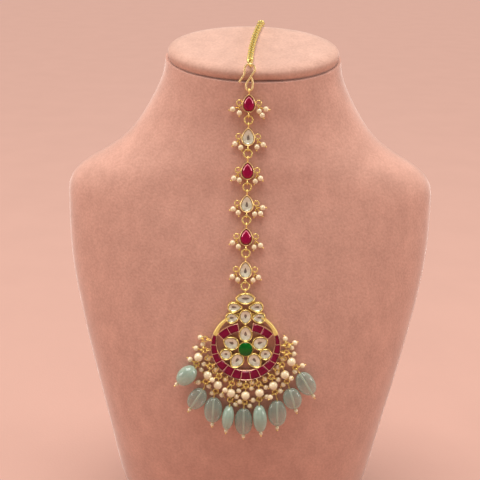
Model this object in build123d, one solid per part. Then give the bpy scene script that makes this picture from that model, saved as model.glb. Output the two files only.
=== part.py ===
from build123d import *
from build123d.topology import SkipClean
from collections import namedtuple
import math
import os

# A maang tikka (forehead ornament with a hair chain) hanging on a plain neck display bust.
# Millimetres, +Z up, +X to the viewer's right, -Y towards the viewer.
# The origin is the middle of the bust's flat base.

os.makedirs("parts", exist_ok=True)

# ---------------------------------------------------------------- driving dimensions

# Neck bust: oval sections, each with its half width and the places of its front and back
Section = namedtuple("Section", "height half_width front back")
BUST_SECTIONS = (
    Section(0, 46.0, -31, 31),
    Section(20, 66.5, -39, 35),
    Section(52, 73.0, -48, 39),
    Section(92, 81.0, -50, 43),
    Section(132, 89.0, -46, 45),
    Section(162, 93.0, -40, 45),
    Section(186, 93.5, -34, 44),
    Section(204, 85.0, -29.5, 43),
    Section(220, 62.0, -26, 42),
    Section(234, 52.0, -23, 41),
    Section(243, 47.2, -21.9, 40.5),
    Section(253, 43.9, -20.8, 40),
    Section(270, 42.6, -20, 39.5),
)

# Slanted top of the neck and the padded cap that closes it
NECK_TOP_HEIGHT = 257.2
NECK_TOP_DEPTH = 9.5
NECK_TOP_SLOPE = 13.5
CAP_HALF_WIDTH = 42.4
CAP_HALF_DEPTH = 30.6
CAP_THICKNESS = 6.5
CAP_TOP_ROUND = 4.5
CAP_BOTTOM_ROUND = 1.5

# Small gaps: under what lies on the velvet, round a stone, between the cap and the neck
SEAT_GAP = 0.3
STONE_GAP = 0.05
CAP_GAP = 0.1

# A length beyond any piece, for sight lines and cutting fans
BEYOND = 200.0

# Bezels and stones
BEZEL_HEIGHT = 2.4
BEZEL_WALL = 0.5
POCKET_DEPTH = 1.4
STONE_RISE = 0.15
STONE_BEVEL = 0.4

# Tikka line: six links hang from the hook, the pendant from the sixth
LINE_X = -1.8
PENDANT_X = -0.9
PENDANT_TURN = 1.5
FIRST_LINK_HEIGHT = 240.8
LINK_COUNT = 6
LINK_PITCH = 15.8
LINK_LENGTH = 8.7
LINK_WIDTH = 6.5

# Loops that take a jump ring, and the jump rings between them
LOOP_RADIUS = 1.15
LOOP_WIRE = 0.32
LOOP_SINK = 0.2
LOOP_HEIGHT = 1.8
LOOP_REACH = LINK_LENGTH / 2 - LOOP_SINK + LOOP_RADIUS + LOOP_WIRE
JUMP_RING_RADIUS = 1.94
JUMP_RING_WIRE = 0.36

# Side curls of a link, and the pearls that hang from them
CURL_OUT = 4.5
CURL_UP = 0.1
CURL_RADIUS = 1.25
CURL_WIRE = 0.28
EYE_RADIUS = 0.65
EYE_WIRE = 0.25
EYE_DROP = 0.04
PIN_WIRE = 0.2
SMALL_PEARL = 1.33
TIP_BALL = 0.42
TIP_REACH = 0.35

# S hook, in its own plane: across, and up from the middle of its lower wire
HOOK_WIRE = 0.43
HOOK_LEAN = 9.5
HOOK_PLAY = 0.08
HookPoint = namedtuple("HookPoint", "across up bend")
HOOK_POINTS = (
    HookPoint(-4.65, 3.9, 0),
    HookPoint(-2.4, 7.3, 2.5),
    HookPoint(-2.4, 12.0, 2.3),
    HookPoint(2.4, 12.0, 2.3),
    HookPoint(2.4, 9.0, 2.0),
    HookPoint(-1.55, 3.0, 3.0),
    HookPoint(-1.55, 0.0, 1.5),
    HookPoint(1.5, 0.0, 1.5),
    HookPoint(1.6, 3.4, 2.5),
    HookPoint(0.95, 5.6, 0),
)

# Hair chain: its tube, its end rings, and its route over the cap and down behind the neck
CHAIN_RADIUS = 1.55
CHAIN_RING_RADIUS = 1.75
CHAIN_RING_WIRE = 0.4
CHAIN_RING_TWIST = 30.0
CHAIN_CORNER_ROOM = 0.45
CHAIN_ARC_SHARE = 0.45
# on the cap: across and along it; over its back edge: across and the angle round the edge;
# behind the neck: plain points
CHAIN_ON_CAP = ((-1.7, -21.5), (-1.3, -13), (-0.6, -4), (0.4, 6), (1.6, 15), (2.8, 22))
CHAIN_OVER_EDGE = ((3.7, 14), (4.3, 45), (4.8, 76))
CHAIN_BEHIND = ((5.4, 42.5, 262.0), (5.9, 42.5, 255.5), (6.2, 42.5, 248.5), (6.6, 42.9, 241.0))
PIN_SHAFT = 0.4
PIN_HEAD = 1.45
PIN_HEAD_THICKNESS = 1.0
PIN_DEPTH = 12.0

# Pendant: crescent ring, green middle, channels and their stones
RING_OUTER = 17.0
RING_INNER = 14.1
RING_INNER_UP = 2.2
RING_STONES_UP_TO = 23.0
CHANNEL_WALL = 0.45
GREEN_UP = -1.1
GREEN_RADIUS = 3.3
GREEN_DOME = 1.3
ARC_CENTRE_UP = -7.0
ARC_INNER = 15.0
ARC_OUTER = 19.3
ARC_FROM = 11.0
ARC_TO = 45.0
PENDANT_LOOP_SINK = 0.5
BAIL_TAKE_UP = 0.25

# Kundan stones of the pendant: middle, length, width, and the way the tip points
# (degrees from +X); a row with twin is repeated on the other side
Kundan = namedtuple("Kundan", "node shape u v length width tip twin")
PETAL_LENGTH = 8.2
PETAL_WIDTH = 6.8
KUNDAN = (
    Kundan("crown_top", "navette", 0.0, 24.1, 9.8, 5.6, 0, False),
    Kundan("crown_upper", "pear", 5.0, 19.8, 7.4, 5.2, 180, True),
    Kundan("crown_mid", "pear", 0.0, 15.0, 7.6, 6.4, -90, False),
    Kundan("crown_lower", "pear", 6.4, 14.5, 6.8, 5.5, 180, True),
    Kundan("petal_side", "pear", 9.7, -3.8, 6.3, 5.8, 10, True),
)
PETALS = (("petal_top", 90, 7.8, False), ("petal_upper", 23, 7.8, True), ("petal_lower", -54, 7.5, True))

# Solder spots that join neighbouring bezels: place and radius
SOLDER = ((0.0, 10.9, 0.6), (2.1, 18.8, 0.7), (-2.1, 18.8, 0.7), (3.7, 22.4, 0.9), (-3.7, 22.4, 0.9))

# Fringe: each strand has a ring at the rim, a large pearl, a lower ring and a mint bead
LARGE_PEARL = 2.2
SEED_PEARL = 1.0
RIM_LOOP_OUT = 18.25
RIM_LOOP_RADIUS = 1.15
RIM_LOOP_WIRE = 0.28
RIM_HEIGHT = 1.3
STRAND_RING_OUT = 20.0
STRAND_RING_RADIUS = 1.25
STRAND_RING_WIRE = 0.28
LOWER_RING_DROP = 3.8
LOWER_RING_HEIGHT = 1.8
BEAD_HOLE = 0.6
BEAD_PIN = 0.3
Strand = namedtuple("Strand", "rim pearl bead width length depth tilt upper lower")
STRANDS = (
    Strand(-85, (-23.0, -5.6), (-28.9, -14.8), 8.6, 11.4, 8.6, -48,
           ((-20.8, 0.6), (-24.2, -1.4)), ((-27.2, -7.4), (-21.8, -12.4))),
    Strand(-60, (-18.6, -14.8), (-24.1, -27.3), 8.9, 11.6, 6.4, -33,
           ((-18.2, -6.4), (-20.4, -9.4)), ((-23.4, -19.2), (-18.2, -20.9))),
    Strand(-41, (-13.7, -19.8), (-16.2, -33.0), 9.2, 13.2, 6.4, -4,
           ((-14.6, -12.1), (-16.4, -16.5)), ((-11.9, -25.5), (-16.6, -24.6))),
    Strand(-20, (-7.4, -23.9), (-8.9, -36.3), 6.0, 12.2, 9.0, -8,
           ((-9.8, -16.9), (-10.2, -22.0)), ((-4.6, -26.2), (-5.2, -30.3))),
    Strand(0, (-0.2, -25.2), (-1.2, -39.0), 9.1, 13.7, 6.4, -1,
           ((-3.0, -19.2), (2.7, -21.6), (-3.4, -22.9)), ((-3.0, -28.8), (1.8, -31.2))),
    Strand(18, (6.7, -23.8), (6.9, -36.9), 7.0, 13.7, 9.0, 3,
           ((3.0, -18.5), (9.8, -21.3)), ((3.5, -28.1), (10.3, -26.4))),
    Strand(39, (13.4, -20.2), (15.4, -34.9), 9.4, 13.3, 6.4, 0,
           ((9.3, -16.8), (15.8, -17.4)), ((12.0, -25.9), (17.0, -23.6))),
    Strand(62, (19.1, -14.7), (22.9, -27.3), 9.2, 11.0, 6.4, 16,
           ((15.4, -13.8), (15.6, -11.0)), ((18.4, -20.2), (22.2, -16.4))),
    Strand(81, (22.2, -8.1), (29.5, -19.8), 9.2, 12.6, 6.4, 30,
           ((18.0, -6.8), (23.4, -4.4)), ((27.7, -10.8), (24.0, -13.6))),
)
# Short bunches beside the top of the ring, on the first and last strands' pieces
SideBunch = namedtuple("SideBunch", "rim pearls")
SIDE_BUNCHES = {
    0: SideBunch(-101, ((-22.0, 4.2),)),
    8: SideBunch(92, ((19.2, 3.4), (23.9, 1.2), (22.3, -1.2))),
}

# Pearls beside each link, measured from the middle of its setting
LinkPearls = namedtuple("LinkPearls", "left right")
LINK_PEARLS = (
    LinkPearls(((-7.6, -3.0), (-4.4, -4.6)), ((4.8, -3.6), (8.0, -2.6), (6.3, -5.5))),
    LinkPearls(((-6.2, -3.4), (-3.4, -5.1)), ((4.2, -4.7), (7.1, -3.6))),
    LinkPearls(((-6.4, -3.8), (-3.8, -4.6)), ((6.2, -3.6), (3.7, -5.0))),
    LinkPearls(((-6.5, -2.7), (-4.0, -4.4)), ((7.6, -1.8), (6.6, -4.6), (3.8, -4.9))),
    LinkPearls(((-6.4, -3.0), (-3.6, -4.7)), ((3.9, -4.9), (6.9, -4.0))),
    LinkPearls(((-6.2, -3.5), (-3.6, -4.9)), ((6.3, -3.6), (3.7, -5.0))),
)


# ---------------------------------------------------------------- small helpers

def save(node, shapes):
    """Write one node; shapes is a solid or a list of solids."""
    solids = shapes if isinstance(shapes, list) else [shapes]
    shape = solids[0] if len(solids) == 1 else Compound(children=solids)
    export_step(shape, f"parts/{node}.step")


def unit(vector):
    return Vector(vector).normalized()


def ball(centre, radius):
    return Pos(*centre) * Sphere(radius)


def rod(start, end, radius):
    """Round bar between two points."""
    start = Vector(*start)
    run = Vector(*end) - start
    bar = Cylinder(radius, run.length, align=(Align.CENTER, Align.CENTER, Align.MIN))
    return Plane(origin=start, z_dir=run).location * bar


def wire_ring(centre, axis, radius, wire):
    """Round wire ring about an axis."""
    return Plane(origin=Vector(*centre), z_dir=Vector(*axis)).location * Torus(radius, wire)


def join(pieces):
    """Fuse many crossing pieces in one step, keeping their seams."""
    with SkipClean():
        return pieces[0].fuse(*pieces[1:])


def beaded_pin(start, along, wire, beads):
    """Round pin from a point along a direction, turned in one piece with its beads.
    beads holds a distance from the start and a radius for each; the last one closes the pin."""
    outline = [Line((0, 0), (wire, 0))]
    reached = 0
    for distance, radius in beads:
        neck = math.sqrt(radius**2 - wire**2)
        last = (distance, radius) == beads[-1]
        leave = (0, distance + radius) if last else (wire, distance + neck)
        outline.append(Line((wire, reached), (wire, distance - neck)))
        outline.append(ThreePointArc((wire, distance - neck), (radius, distance), leave))
        reached = distance + neck
    outline.append(Line(leave, (0, 0)))
    turned = revolve(Rot(90, 0, 0) * make_face(outline), Axis.Z)
    return Plane(origin=Vector(*start), z_dir=along).location * turned


def head_pin(start, pearl, radius):
    """Pin from a point through its pearl to a small ball."""
    run = Vector(*pearl) - Vector(*start)
    tip = run.length + radius + TIP_REACH
    return beaded_pin(start, run, PIN_WIRE, [(run.length, radius), (tip, TIP_BALL)])


def three_arcs(points_and_middles):
    """Closed face from arcs given as (start, middle, end)."""
    return make_face([ThreePointArc(*arc) for arc in points_and_middles])


def flank_middle(centre_y, radius, reach, side):
    """Point half way along a flank arc of a pear or navette that ends on its tip."""
    start = math.pi / 2
    end = math.atan2(centre_y, reach)
    middle = (start + end) / 2
    return radius * math.cos(middle), side * (radius * math.sin(middle) - centre_y)


def pear(length, width, inset=0.0):
    """Pear outline with its tip on +X, centred on its length, drawn smaller all round by inset."""
    half = width / 2
    flank = (half**2 + (length - half) ** 2) / width
    centre = flank - half
    reach = math.sqrt((flank - inset) ** 2 - centre**2)
    middle_x, middle_y = flank_middle(centre, flank - inset, reach, 1)
    round_end = three_arcs((
        ((0, half - inset), (middle_x, middle_y), (reach, 0)),
        ((reach, 0), (middle_x, -middle_y), (0, inset - half)),
        ((0, inset - half), (inset - half, 0), (0, half - inset)),
    ))
    return Pos(half - length / 2, 0) * round_end


def navette(length, width, inset=0.0):
    """Outline of two arcs that meet in tips on +X and -X."""
    flank = (length**2 + width**2) / (4 * width)
    centre = flank - width / 2
    reach = math.sqrt((flank - inset) ** 2 - centre**2)
    top = (0, width / 2 - inset)
    bottom = (0, inset - width / 2)
    return three_arcs((((-reach, 0), top, (reach, 0)), ((reach, 0), bottom, (-reach, 0))))


OUTLINES = {"pear": pear, "navette": navette}


def prism(face, bottom, top):
    """Straight prism on a face, between two heights."""
    return Pos(0, 0, bottom) * extrude(face, top - bottom)


def cut_stone(outline, length, width, base):
    """Stone in a pocket of a bezel: straight sides and a bevelled top."""
    gap = BEZEL_WALL + STONE_GAP
    bottom = base - POCKET_DEPTH + STONE_GAP
    girdle = prism(outline(length, width, gap), bottom, base)
    lower = Pos(0, 0, base) * outline(length, width, gap)
    upper = Pos(0, 0, base + STONE_RISE + STONE_BEVEL) * outline(length, width, gap + 2 * STONE_BEVEL)
    return girdle + loft([lower, upper], ruled=True)


# ---------------------------------------------------------------- neck bust

def make_bust():
    """Lofted body, cut along the slanted top of the neck."""
    faces = []
    for section in BUST_SECTIONS:
        middle = (section.front + section.back) / 2
        half_depth = (section.back - section.front) / 2
        faces.append(Pos(0, middle, section.height) * Ellipse(section.half_width, half_depth))
    body = loft(faces)
    return split(body, bisect_by=CAP_PLANE, keep=Keep.BOTTOM)


CAP_PLANE = Plane(
    origin=(0, NECK_TOP_DEPTH, NECK_TOP_HEIGHT),
    x_dir=(1, 0, 0),
    z_dir=Vector(0, 0, 1).rotate(Axis.X, NECK_TOP_SLOPE),
)


def make_cap():
    """Padded oval pad with soft edges."""
    pad = prism(Ellipse(CAP_HALF_WIDTH, CAP_HALF_DEPTH), CAP_GAP, CAP_THICKNESS)
    rims = pad.edges().group_by(Axis.Z)
    pad = fillet(rims[-1], CAP_TOP_ROUND)
    pad = fillet(pad.edges().group_by(Axis.Z)[0], CAP_BOTTOM_ROUND)
    return CAP_PLANE.location * pad


BUST = make_bust()


def chest(origin, direction):
    """First point of the bust on a line, with the outward normal there."""
    hits = BUST.find_intersection_points(Axis(origin, direction))
    return hits[0]


def seat(x, z):
    """Plane on the front of the bust: X to the right, Y up along it, Z outwards."""
    point, normal = chest((x, -BEYOND, z), (0, 1, 0))
    across = Vector(1, 0, 0) - normal * normal.X
    return Plane(origin=point, x_dir=across, z_dir=normal)


def depth_below(plane, u, v):
    """Height of the bust's surface over a plane, at a place on the plane."""
    start = plane.from_local_coords((u, v, BEYOND))
    point, _ = chest(start, plane.z_dir * -1)
    return plane.to_local_coords(point).Z


def walk_down(x, height, distance):
    """Height reached after walking down the chest line from a height by a distance."""
    steps = 20
    for _ in range(steps):
        height -= seat(x, height).y_dir.Z * distance / steps
    return height


# ---------------------------------------------------------------- links

def face_up(face):
    return Rot(0, 0, 90) * face


def make_link_setting():
    """Bezel with a bail above, a loop below and a curl at each side."""
    body = prism(face_up(pear(LINK_LENGTH, LINK_WIDTH)), 0, BEZEL_HEIGHT)
    inner = face_up(pear(LINK_LENGTH, LINK_WIDTH, BEZEL_WALL))
    pocket = prism(inner, BEZEL_HEIGHT - POCKET_DEPTH, 2 * BEZEL_HEIGHT)
    height = LOOP_HEIGHT - SEAT_GAP
    setting = body
    for side in (1, -1):
        setting += wire_ring((0, side * LOOP_REACH, height), (1, 0, 0), LOOP_RADIUS, LOOP_WIRE)
        setting += wire_ring((side * CURL_OUT, CURL_UP, height), (0, 0, 1), CURL_RADIUS, CURL_WIRE)
    return setting - pocket


def make_link_stone():
    stone = cut_stone(pear, LINK_LENGTH, LINK_WIDTH, BEZEL_HEIGHT)
    return Rot(0, 0, 90) * stone


def make_link_bunch(plane, side, places):
    """Pearls on pins that share an eye through one side curl."""
    eye_up = CURL_UP - CURL_RADIUS - EYE_DROP
    eye = (side * CURL_OUT, eye_up, LOOP_HEIGHT)
    bunch = [wire_ring(eye, (1, 0, 0), EYE_RADIUS, EYE_WIRE)]
    root = (side * CURL_OUT, eye_up - EYE_RADIUS, LOOP_HEIGHT)
    for u, v in places:
        height = depth_below(plane, u, v) + SEAT_GAP + SMALL_PEARL
        bunch.append(head_pin(root, (u, v, height), SMALL_PEARL))
    return join(bunch)


def link_planes():
    """Planes of the six links, down the chest."""
    planes = []
    height = FIRST_LINK_HEIGHT
    for _ in range(LINK_COUNT):
        planes.append(seat(LINE_X, height))
        height = walk_down(LINE_X, height, LINK_PITCH)
    return planes


def export_links(planes):
    setting = make_link_setting()
    stone = make_link_stone()
    for number, plane in enumerate(planes, start=1):
        raised = plane.location * Pos(0, 0, SEAT_GAP)
        save(f"link_setting_{number}", raised * setting)
        save(f"link_stone_{number}", raised * stone)
        pearls = LINK_PEARLS[number - 1]
        left = make_link_bunch(plane, -1, pearls.left)
        right = make_link_bunch(plane, 1, pearls.right)
        save(f"link_pearls_{number}", [plane.location * left, plane.location * right])


def export_jump_rings(planes, pendant_bail):
    """A ring between each link's lower loop and the bail below it."""
    bails = [plane.from_local_coords((0, LOOP_REACH, LOOP_HEIGHT)) for plane in planes[1:]]
    bails.append(pendant_bail)
    for number, (plane, bail) in enumerate(zip(planes, bails), start=1):
        loop = plane.from_local_coords((0, -LOOP_REACH, LOOP_HEIGHT))
        facing = Vector(1, 0, 0).cross(loop - bail)
        ring = wire_ring((loop + bail) * 0.5, facing, JUMP_RING_RADIUS, JUMP_RING_WIRE)
        save(f"jump_ring_{number}", ring)


# ---------------------------------------------------------------- hook and hair chain

def hook_plane(first_link):
    """Plane of the hook: origin on its lower wire, in the first bail, leaning back with its top."""
    in_bail = LOOP_REACH + LOOP_RADIUS - LOOP_WIRE - HOOK_WIRE - HOOK_PLAY
    origin = first_link.from_local_coords((0, in_bail, LOOP_HEIGHT))
    up = Vector(0, 0, 1).rotate(Axis.X, -HOOK_LEAN)
    return Plane(origin=origin, x_dir=(1, 0, 0), z_dir=Vector(1, 0, 0).cross(up))


def make_hook(plane):
    points = [plane.from_local_coords((point.across, point.up, 0)) for point in HOOK_POINTS]
    path = FilletPolyline(*points, radius=[point.bend for point in HOOK_POINTS[1:-1]])
    section = Plane(origin=path @ 0, z_dir=path % 0) * Circle(HOOK_WIRE)
    return sweep(section, path)


def corner_radii(points):
    """Tangent arcs that take up a share of the shorter run beside each corner."""
    radii = []
    for before, corner, after in zip(points, points[1:], points[2:]):
        runs = (corner - before, after - corner)
        turn = math.radians(runs[0].get_angle(runs[1]))
        radii.append(CHAIN_ARC_SHARE * min(run.length for run in runs) / math.tan(turn / 2))
    return radii


def cap_edge_point(x, side, angle, out):
    """Point round the cap's rounded rim, an angle from its top, to the front or the back."""
    turn = math.radians(angle)
    along = side * (CAP_HALF_DEPTH - CAP_TOP_ROUND + out * math.sin(turn))
    height = CAP_THICKNESS - CAP_TOP_ROUND + out * math.cos(turn)
    return CAP_PLANE.from_local_coords((x, along, height))


def chain_points(start):
    """Route of the chain: along the cap, round its back edge, down behind the neck."""
    lie = CAP_THICKNESS + SEAT_GAP + CHAIN_RADIUS
    over_edge = CAP_TOP_ROUND + SEAT_GAP + CHAIN_RADIUS + CHAIN_CORNER_ROOM
    points = [start]
    for x, along in CHAIN_ON_CAP:
        points.append(CAP_PLANE.from_local_coords((x, along, lie)))
    for x, angle in CHAIN_OVER_EDGE:
        points.append(cap_edge_point(x, 1, angle, over_edge))
    points += [Vector(*point) for point in CHAIN_BEHIND]
    return points


def make_chain(hook_top):
    """Chain tube with a twisted ring in the hook and a flat ring on the pin behind."""
    local = CAP_PLANE.to_local_coords(hook_top)
    along = -local.Y - (CAP_HALF_DEPTH - CAP_TOP_ROUND)
    height = local.Z - (CAP_THICKNESS - CAP_TOP_ROUND)
    out = math.hypot(along, height)
    hook_angle = math.degrees(math.atan2(along, height))
    ring_step = CHAIN_RING_RADIUS - CHAIN_RING_WIRE - HOOK_WIRE - HOOK_PLAY
    ring_angle = hook_angle - math.degrees(ring_step / out)
    tube_angle = hook_angle - math.degrees((ring_step + CHAIN_RING_RADIUS) / out)
    centre = cap_edge_point(local.X, -1, ring_angle, out)
    outward = unit(centre - cap_edge_point(local.X, -1, ring_angle, 0))
    twist = math.radians(CHAIN_RING_TWIST)
    axis = outward * math.sin(twist) + Vector(1, 0, 0) * math.cos(twist)
    front_ring = wire_ring(centre, axis, CHAIN_RING_RADIUS, CHAIN_RING_WIRE)
    points = chain_points(cap_edge_point(local.X, -1, tube_angle, out))
    radii = corner_radii(points)
    print("hair chain bend radii:", [round(radius, 1) for radius in radii])
    path = FilletPolyline(*points, radius=radii)
    print("hair chain length:", round(path.length, 1))
    section = Plane(origin=path @ 0, z_dir=path % 0) * Circle(CHAIN_RADIUS)
    tube = sweep(section, path)
    print("hair chain tube volume over section times length:",
          round(tube.volume / (math.pi * CHAIN_RADIUS**2 * path.length), 4))
    end = points[-1] + (path % 1) * (CHAIN_RING_RADIUS + CHAIN_RING_WIRE / 2)
    back_ring = wire_ring(end, (0, 1, 0), CHAIN_RING_RADIUS, CHAIN_RING_WIRE)
    return tube + front_ring + back_ring, end


def make_pin(ring_centre):
    """Plain pin through the chain's back ring into the neck."""
    head_from = ring_centre.Y + CHAIN_RING_WIRE + 2 * STONE_GAP
    inner = Vector(ring_centre.X, head_from - PIN_DEPTH - CHAIN_RADIUS, ring_centre.Z)
    neck = Vector(ring_centre.X, head_from, ring_centre.Z)
    outer = Vector(ring_centre.X, head_from + PIN_HEAD_THICKNESS, ring_centre.Z)
    pin = rod(inner, neck, PIN_SHAFT) + rod(neck, outer, PIN_HEAD)
    hole = rod(inner - Vector(0, SEAT_GAP, 0), neck, PIN_SHAFT + STONE_GAP)
    return pin, hole


# ---------------------------------------------------------------- pendant

def half_turn_places(stone):
    """The stone's places: itself, and its mirror image when it has a twin."""
    places = [(stone.u, stone.v, stone.tip)]
    if stone.twin:
        places.append((-stone.u, stone.v, 180 - stone.tip))
    return places


def petal_rows():
    """Petals round the green stone, tips outwards."""
    rows = []
    for node, angle, reach, twin in PETALS:
        u = reach * math.cos(math.radians(angle))
        v = GREEN_UP + reach * math.sin(math.radians(angle))
        rows.append(Kundan(node, "pear", u, v, PETAL_LENGTH, PETAL_WIDTH, angle, twin))
    return rows


def wedge(start, end):
    """Triangle fan from the middle between two angles, in degrees from +X."""
    steps = 12
    angles = [math.radians(start + (end - start) * step / steps) for step in range(steps + 1)]
    rim = [(BEYOND * math.cos(angle), BEYOND * math.sin(angle)) for angle in angles]
    return make_face(Polyline((0, 0), *rim, close=True))


def ring_band(inset):
    """Band between the crescent ring's two circles, drawn smaller by inset."""
    return Circle(RING_OUTER - inset) - Pos(0, RING_INNER_UP) * Circle(RING_INNER + inset)


def ruby_band(inset):
    """Lower part of the band, as far up as the stones go."""
    trim = math.degrees(inset / RING_OUTER)
    below = wedge(-180 - RING_STONES_UP_TO + trim, RING_STONES_UP_TO - trim)
    return ring_band(inset) & below


def arc_band(inset, side):
    """Curved bar above the flower, on one side."""
    trim = math.degrees(inset / ARC_INNER)
    angles = [90 - side * (ARC_FROM + trim), 90 - side * (ARC_TO - trim)]
    band = Circle(ARC_OUTER - inset) - Circle(ARC_INNER + inset)
    return Pos(0, ARC_CENTRE_UP) * (band & wedge(min(angles), max(angles)))


def rim_place(angle, out):
    """Place at a distance from the ring's middle, in degrees from straight down, to the right."""
    turn = math.radians(angle)
    return out * math.sin(turn), -out * math.cos(turn)


def make_pendant_frame():
    floor = BEZEL_HEIGHT - POCKET_DEPTH
    above = 2 * BEZEL_HEIGHT
    frame = prism(ring_band(0), 0, BEZEL_HEIGHT)
    frame += prism(Pos(0, GREEN_UP) * Circle(GREEN_RADIUS + BEZEL_WALL), 0, BEZEL_HEIGHT)
    pockets = [prism(Pos(0, GREEN_UP) * Circle(GREEN_RADIUS), floor, above)]
    pockets.append(prism(ruby_band(CHANNEL_WALL), floor, above))
    for side in (-1, 1):
        frame += prism(arc_band(0, side), 0, BEZEL_HEIGHT)
        pockets.append(prism(arc_band(CHANNEL_WALL, side), floor, above))
    for stone in KUNDAN + tuple(petal_rows()):
        outline = OUTLINES[stone.shape]
        for u, v, tip in half_turn_places(stone):
            place = Pos(u, v) * Rot(0, 0, tip)
            frame += prism(place * outline(stone.length, stone.width), 0, BEZEL_HEIGHT)
            pockets.append(prism(place * outline(stone.length, stone.width, BEZEL_WALL), floor, above))
    for u, v, radius in SOLDER:
        frame += Pos(u, v, 0) * Cylinder(radius, floor, align=(Align.CENTER, Align.CENTER, Align.MIN))
    for pocket in pockets:
        frame -= pocket
    top = KUNDAN[0].v + KUNDAN[0].width / 2
    bail_up = top - PENDANT_LOOP_SINK + LOOP_RADIUS + LOOP_WIRE
    frame += wire_ring((0, bail_up, LOOP_HEIGHT - SEAT_GAP), (1, 0, 0), LOOP_RADIUS, LOOP_WIRE)
    rims = [strand.rim for strand in STRANDS] + [bunch.rim for bunch in SIDE_BUNCHES.values()]
    for rim in rims:
        u, v = rim_place(rim, RIM_LOOP_OUT)
        along = rim_place(rim + 90, 1)
        frame += wire_ring((u, v, RIM_HEIGHT), (*along, 0), RIM_LOOP_RADIUS, RIM_LOOP_WIRE)
    return frame, bail_up


def export_pendant_stones(place):
    """Stones of the pendant, each in its pocket."""
    bottom = BEZEL_HEIGHT - POCKET_DEPTH + STONE_GAP
    top = BEZEL_HEIGHT + STONE_RISE
    fit = CHANNEL_WALL + STONE_GAP
    save("ruby_crescent", place * prism(ruby_band(fit), bottom, top))
    save("ruby_arcs", [place * prism(arc_band(fit, side), bottom, top) for side in (-1, 1)])
    girdle = GREEN_RADIUS - STONE_GAP
    dome_radius = (girdle**2 + GREEN_DOME**2) / (2 * GREEN_DOME)
    dome = Pos(0, GREEN_UP, BEZEL_HEIGHT + GREEN_DOME - dome_radius) * Sphere(dome_radius)
    drum = prism(Pos(0, GREEN_UP) * Circle(girdle), bottom, 2 * BEZEL_HEIGHT + GREEN_DOME)
    save("centre_stone", place * (drum & dome))
    for stone in KUNDAN + tuple(petal_rows()):
        shape = cut_stone(OUTLINES[stone.shape], stone.length, stone.width, BEZEL_HEIGHT)
        solids = [place * (Pos(u, v) * Rot(0, 0, tip) * shape) for u, v, tip in half_turn_places(stone)]
        save(stone.node, solids)


# ---------------------------------------------------------------- fringe

def strand_pin(ring_centre, pearl, radius):
    """Pieces of a head pin whose eye takes a strand ring, on the side towards its pearl."""
    ring_centre = Vector(*ring_centre)
    pearl = Vector(*pearl)
    flat = Vector(pearl.X - ring_centre.X, pearl.Y - ring_centre.Y, 0)
    start = ring_centre + unit(flat) * STRAND_RING_RADIUS
    eye = wire_ring(start, unit(flat).cross(Vector(0, 0, 1)), EYE_RADIUS, EYE_WIRE)
    return [eye, head_pin(start, pearl, radius)]


def rests_on(settled, u, v, floor, radius):
    """Lowest height at which a ball clears the floor and the balls settled before it."""
    height = floor
    for ball_u, ball_v, ball_height, ball_radius in settled:
        apart = math.hypot(u - ball_u, v - ball_v)
        touch = radius + ball_radius + STONE_GAP
        if apart < touch:
            height = max(height, ball_height + math.sqrt(touch**2 - apart**2))
    return height


def strand_parts(plane, strand):
    """Key places of a strand in the pendant's plane."""
    rim_ring = Vector(*rim_place(strand.rim, STRAND_RING_OUT), RIM_HEIGHT)
    u, v = strand.pearl
    pearl = Vector(u, v, depth_below(plane, u, v) + SEAT_GAP + LARGE_PEARL)
    u, v = strand.bead
    bead = Vector(u, v, depth_below(plane, u, v) + SEAT_GAP + strand.depth / 2)
    axis = Vector(*rim_place(strand.tilt, 1), 0)
    top = bead - axis * (strand.length / 2)
    way = unit(Vector(top.X - pearl.X, top.Y - pearl.Y, 0))
    low = pearl + way * LOWER_RING_DROP
    low_ring = Vector(low.X, low.Y, depth_below(plane, low.X, low.Y) + LOWER_RING_HEIGHT)
    return rim_ring, pearl, low_ring, bead, axis


def make_strand(plane, number, settled):
    """Rings, pearls and the bead's pin of one strand, joined along their thread."""
    strand = STRANDS[number]
    rim_ring, pearl, low_ring, bead, axis = strand_parts(plane, strand)
    flat = Vector(0, 0, 1)
    thread = [ball(pearl, LARGE_PEARL)]
    for ring_centre in (rim_ring, low_ring):
        thread.append(wire_ring(ring_centre, flat, STRAND_RING_RADIUS, STRAND_RING_WIRE))
        way = unit(Vector(pearl.X - ring_centre.X, pearl.Y - ring_centre.Y, 0))
        eye = ring_centre + way * STRAND_RING_RADIUS
        thread += [wire_ring(eye, way.cross(flat), EYE_RADIUS, EYE_WIRE), rod(eye, pearl, PIN_WIRE)]
    top = bead - axis * (strand.length / 2 + BEAD_PIN)
    way = unit(Vector(top.X - low_ring.X, top.Y - low_ring.Y, 0))
    eye = low_ring + way * STRAND_RING_RADIUS
    seed = strand.length + 2 * BEAD_PIN + SEED_PEARL + STONE_GAP
    ends = [(seed, SEED_PEARL), (seed + SEED_PEARL + TIP_REACH, TIP_BALL)]
    thread += [wire_ring(eye, way.cross(flat), EYE_RADIUS, EYE_WIRE), rod(eye, top, PIN_WIRE)]
    thread.append(beaded_pin(top - axis * BEAD_PIN, axis, BEAD_PIN, ends))
    for ring_centre, places in ((rim_ring, strand.upper), (low_ring, strand.lower)):
        for u, v in places:
            thread += strand_pin(ring_centre, settle(plane, u, v, settled), SMALL_PEARL)
    return join(thread)


def settle(plane, u, v, settled):
    """Place of a small pearl that lies on the chest or on the pearls before it."""
    floor = depth_below(plane, u, v) + SEAT_GAP + SMALL_PEARL
    if math.hypot(u, v) < RING_OUTER + SMALL_PEARL + STONE_GAP:
        floor = BEZEL_HEIGHT + SMALL_PEARL + SEAT_GAP
    height = rests_on(settled, u, v, floor, SMALL_PEARL)
    settled.append((u, v, height, SMALL_PEARL))
    return Vector(u, v, height)


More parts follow.
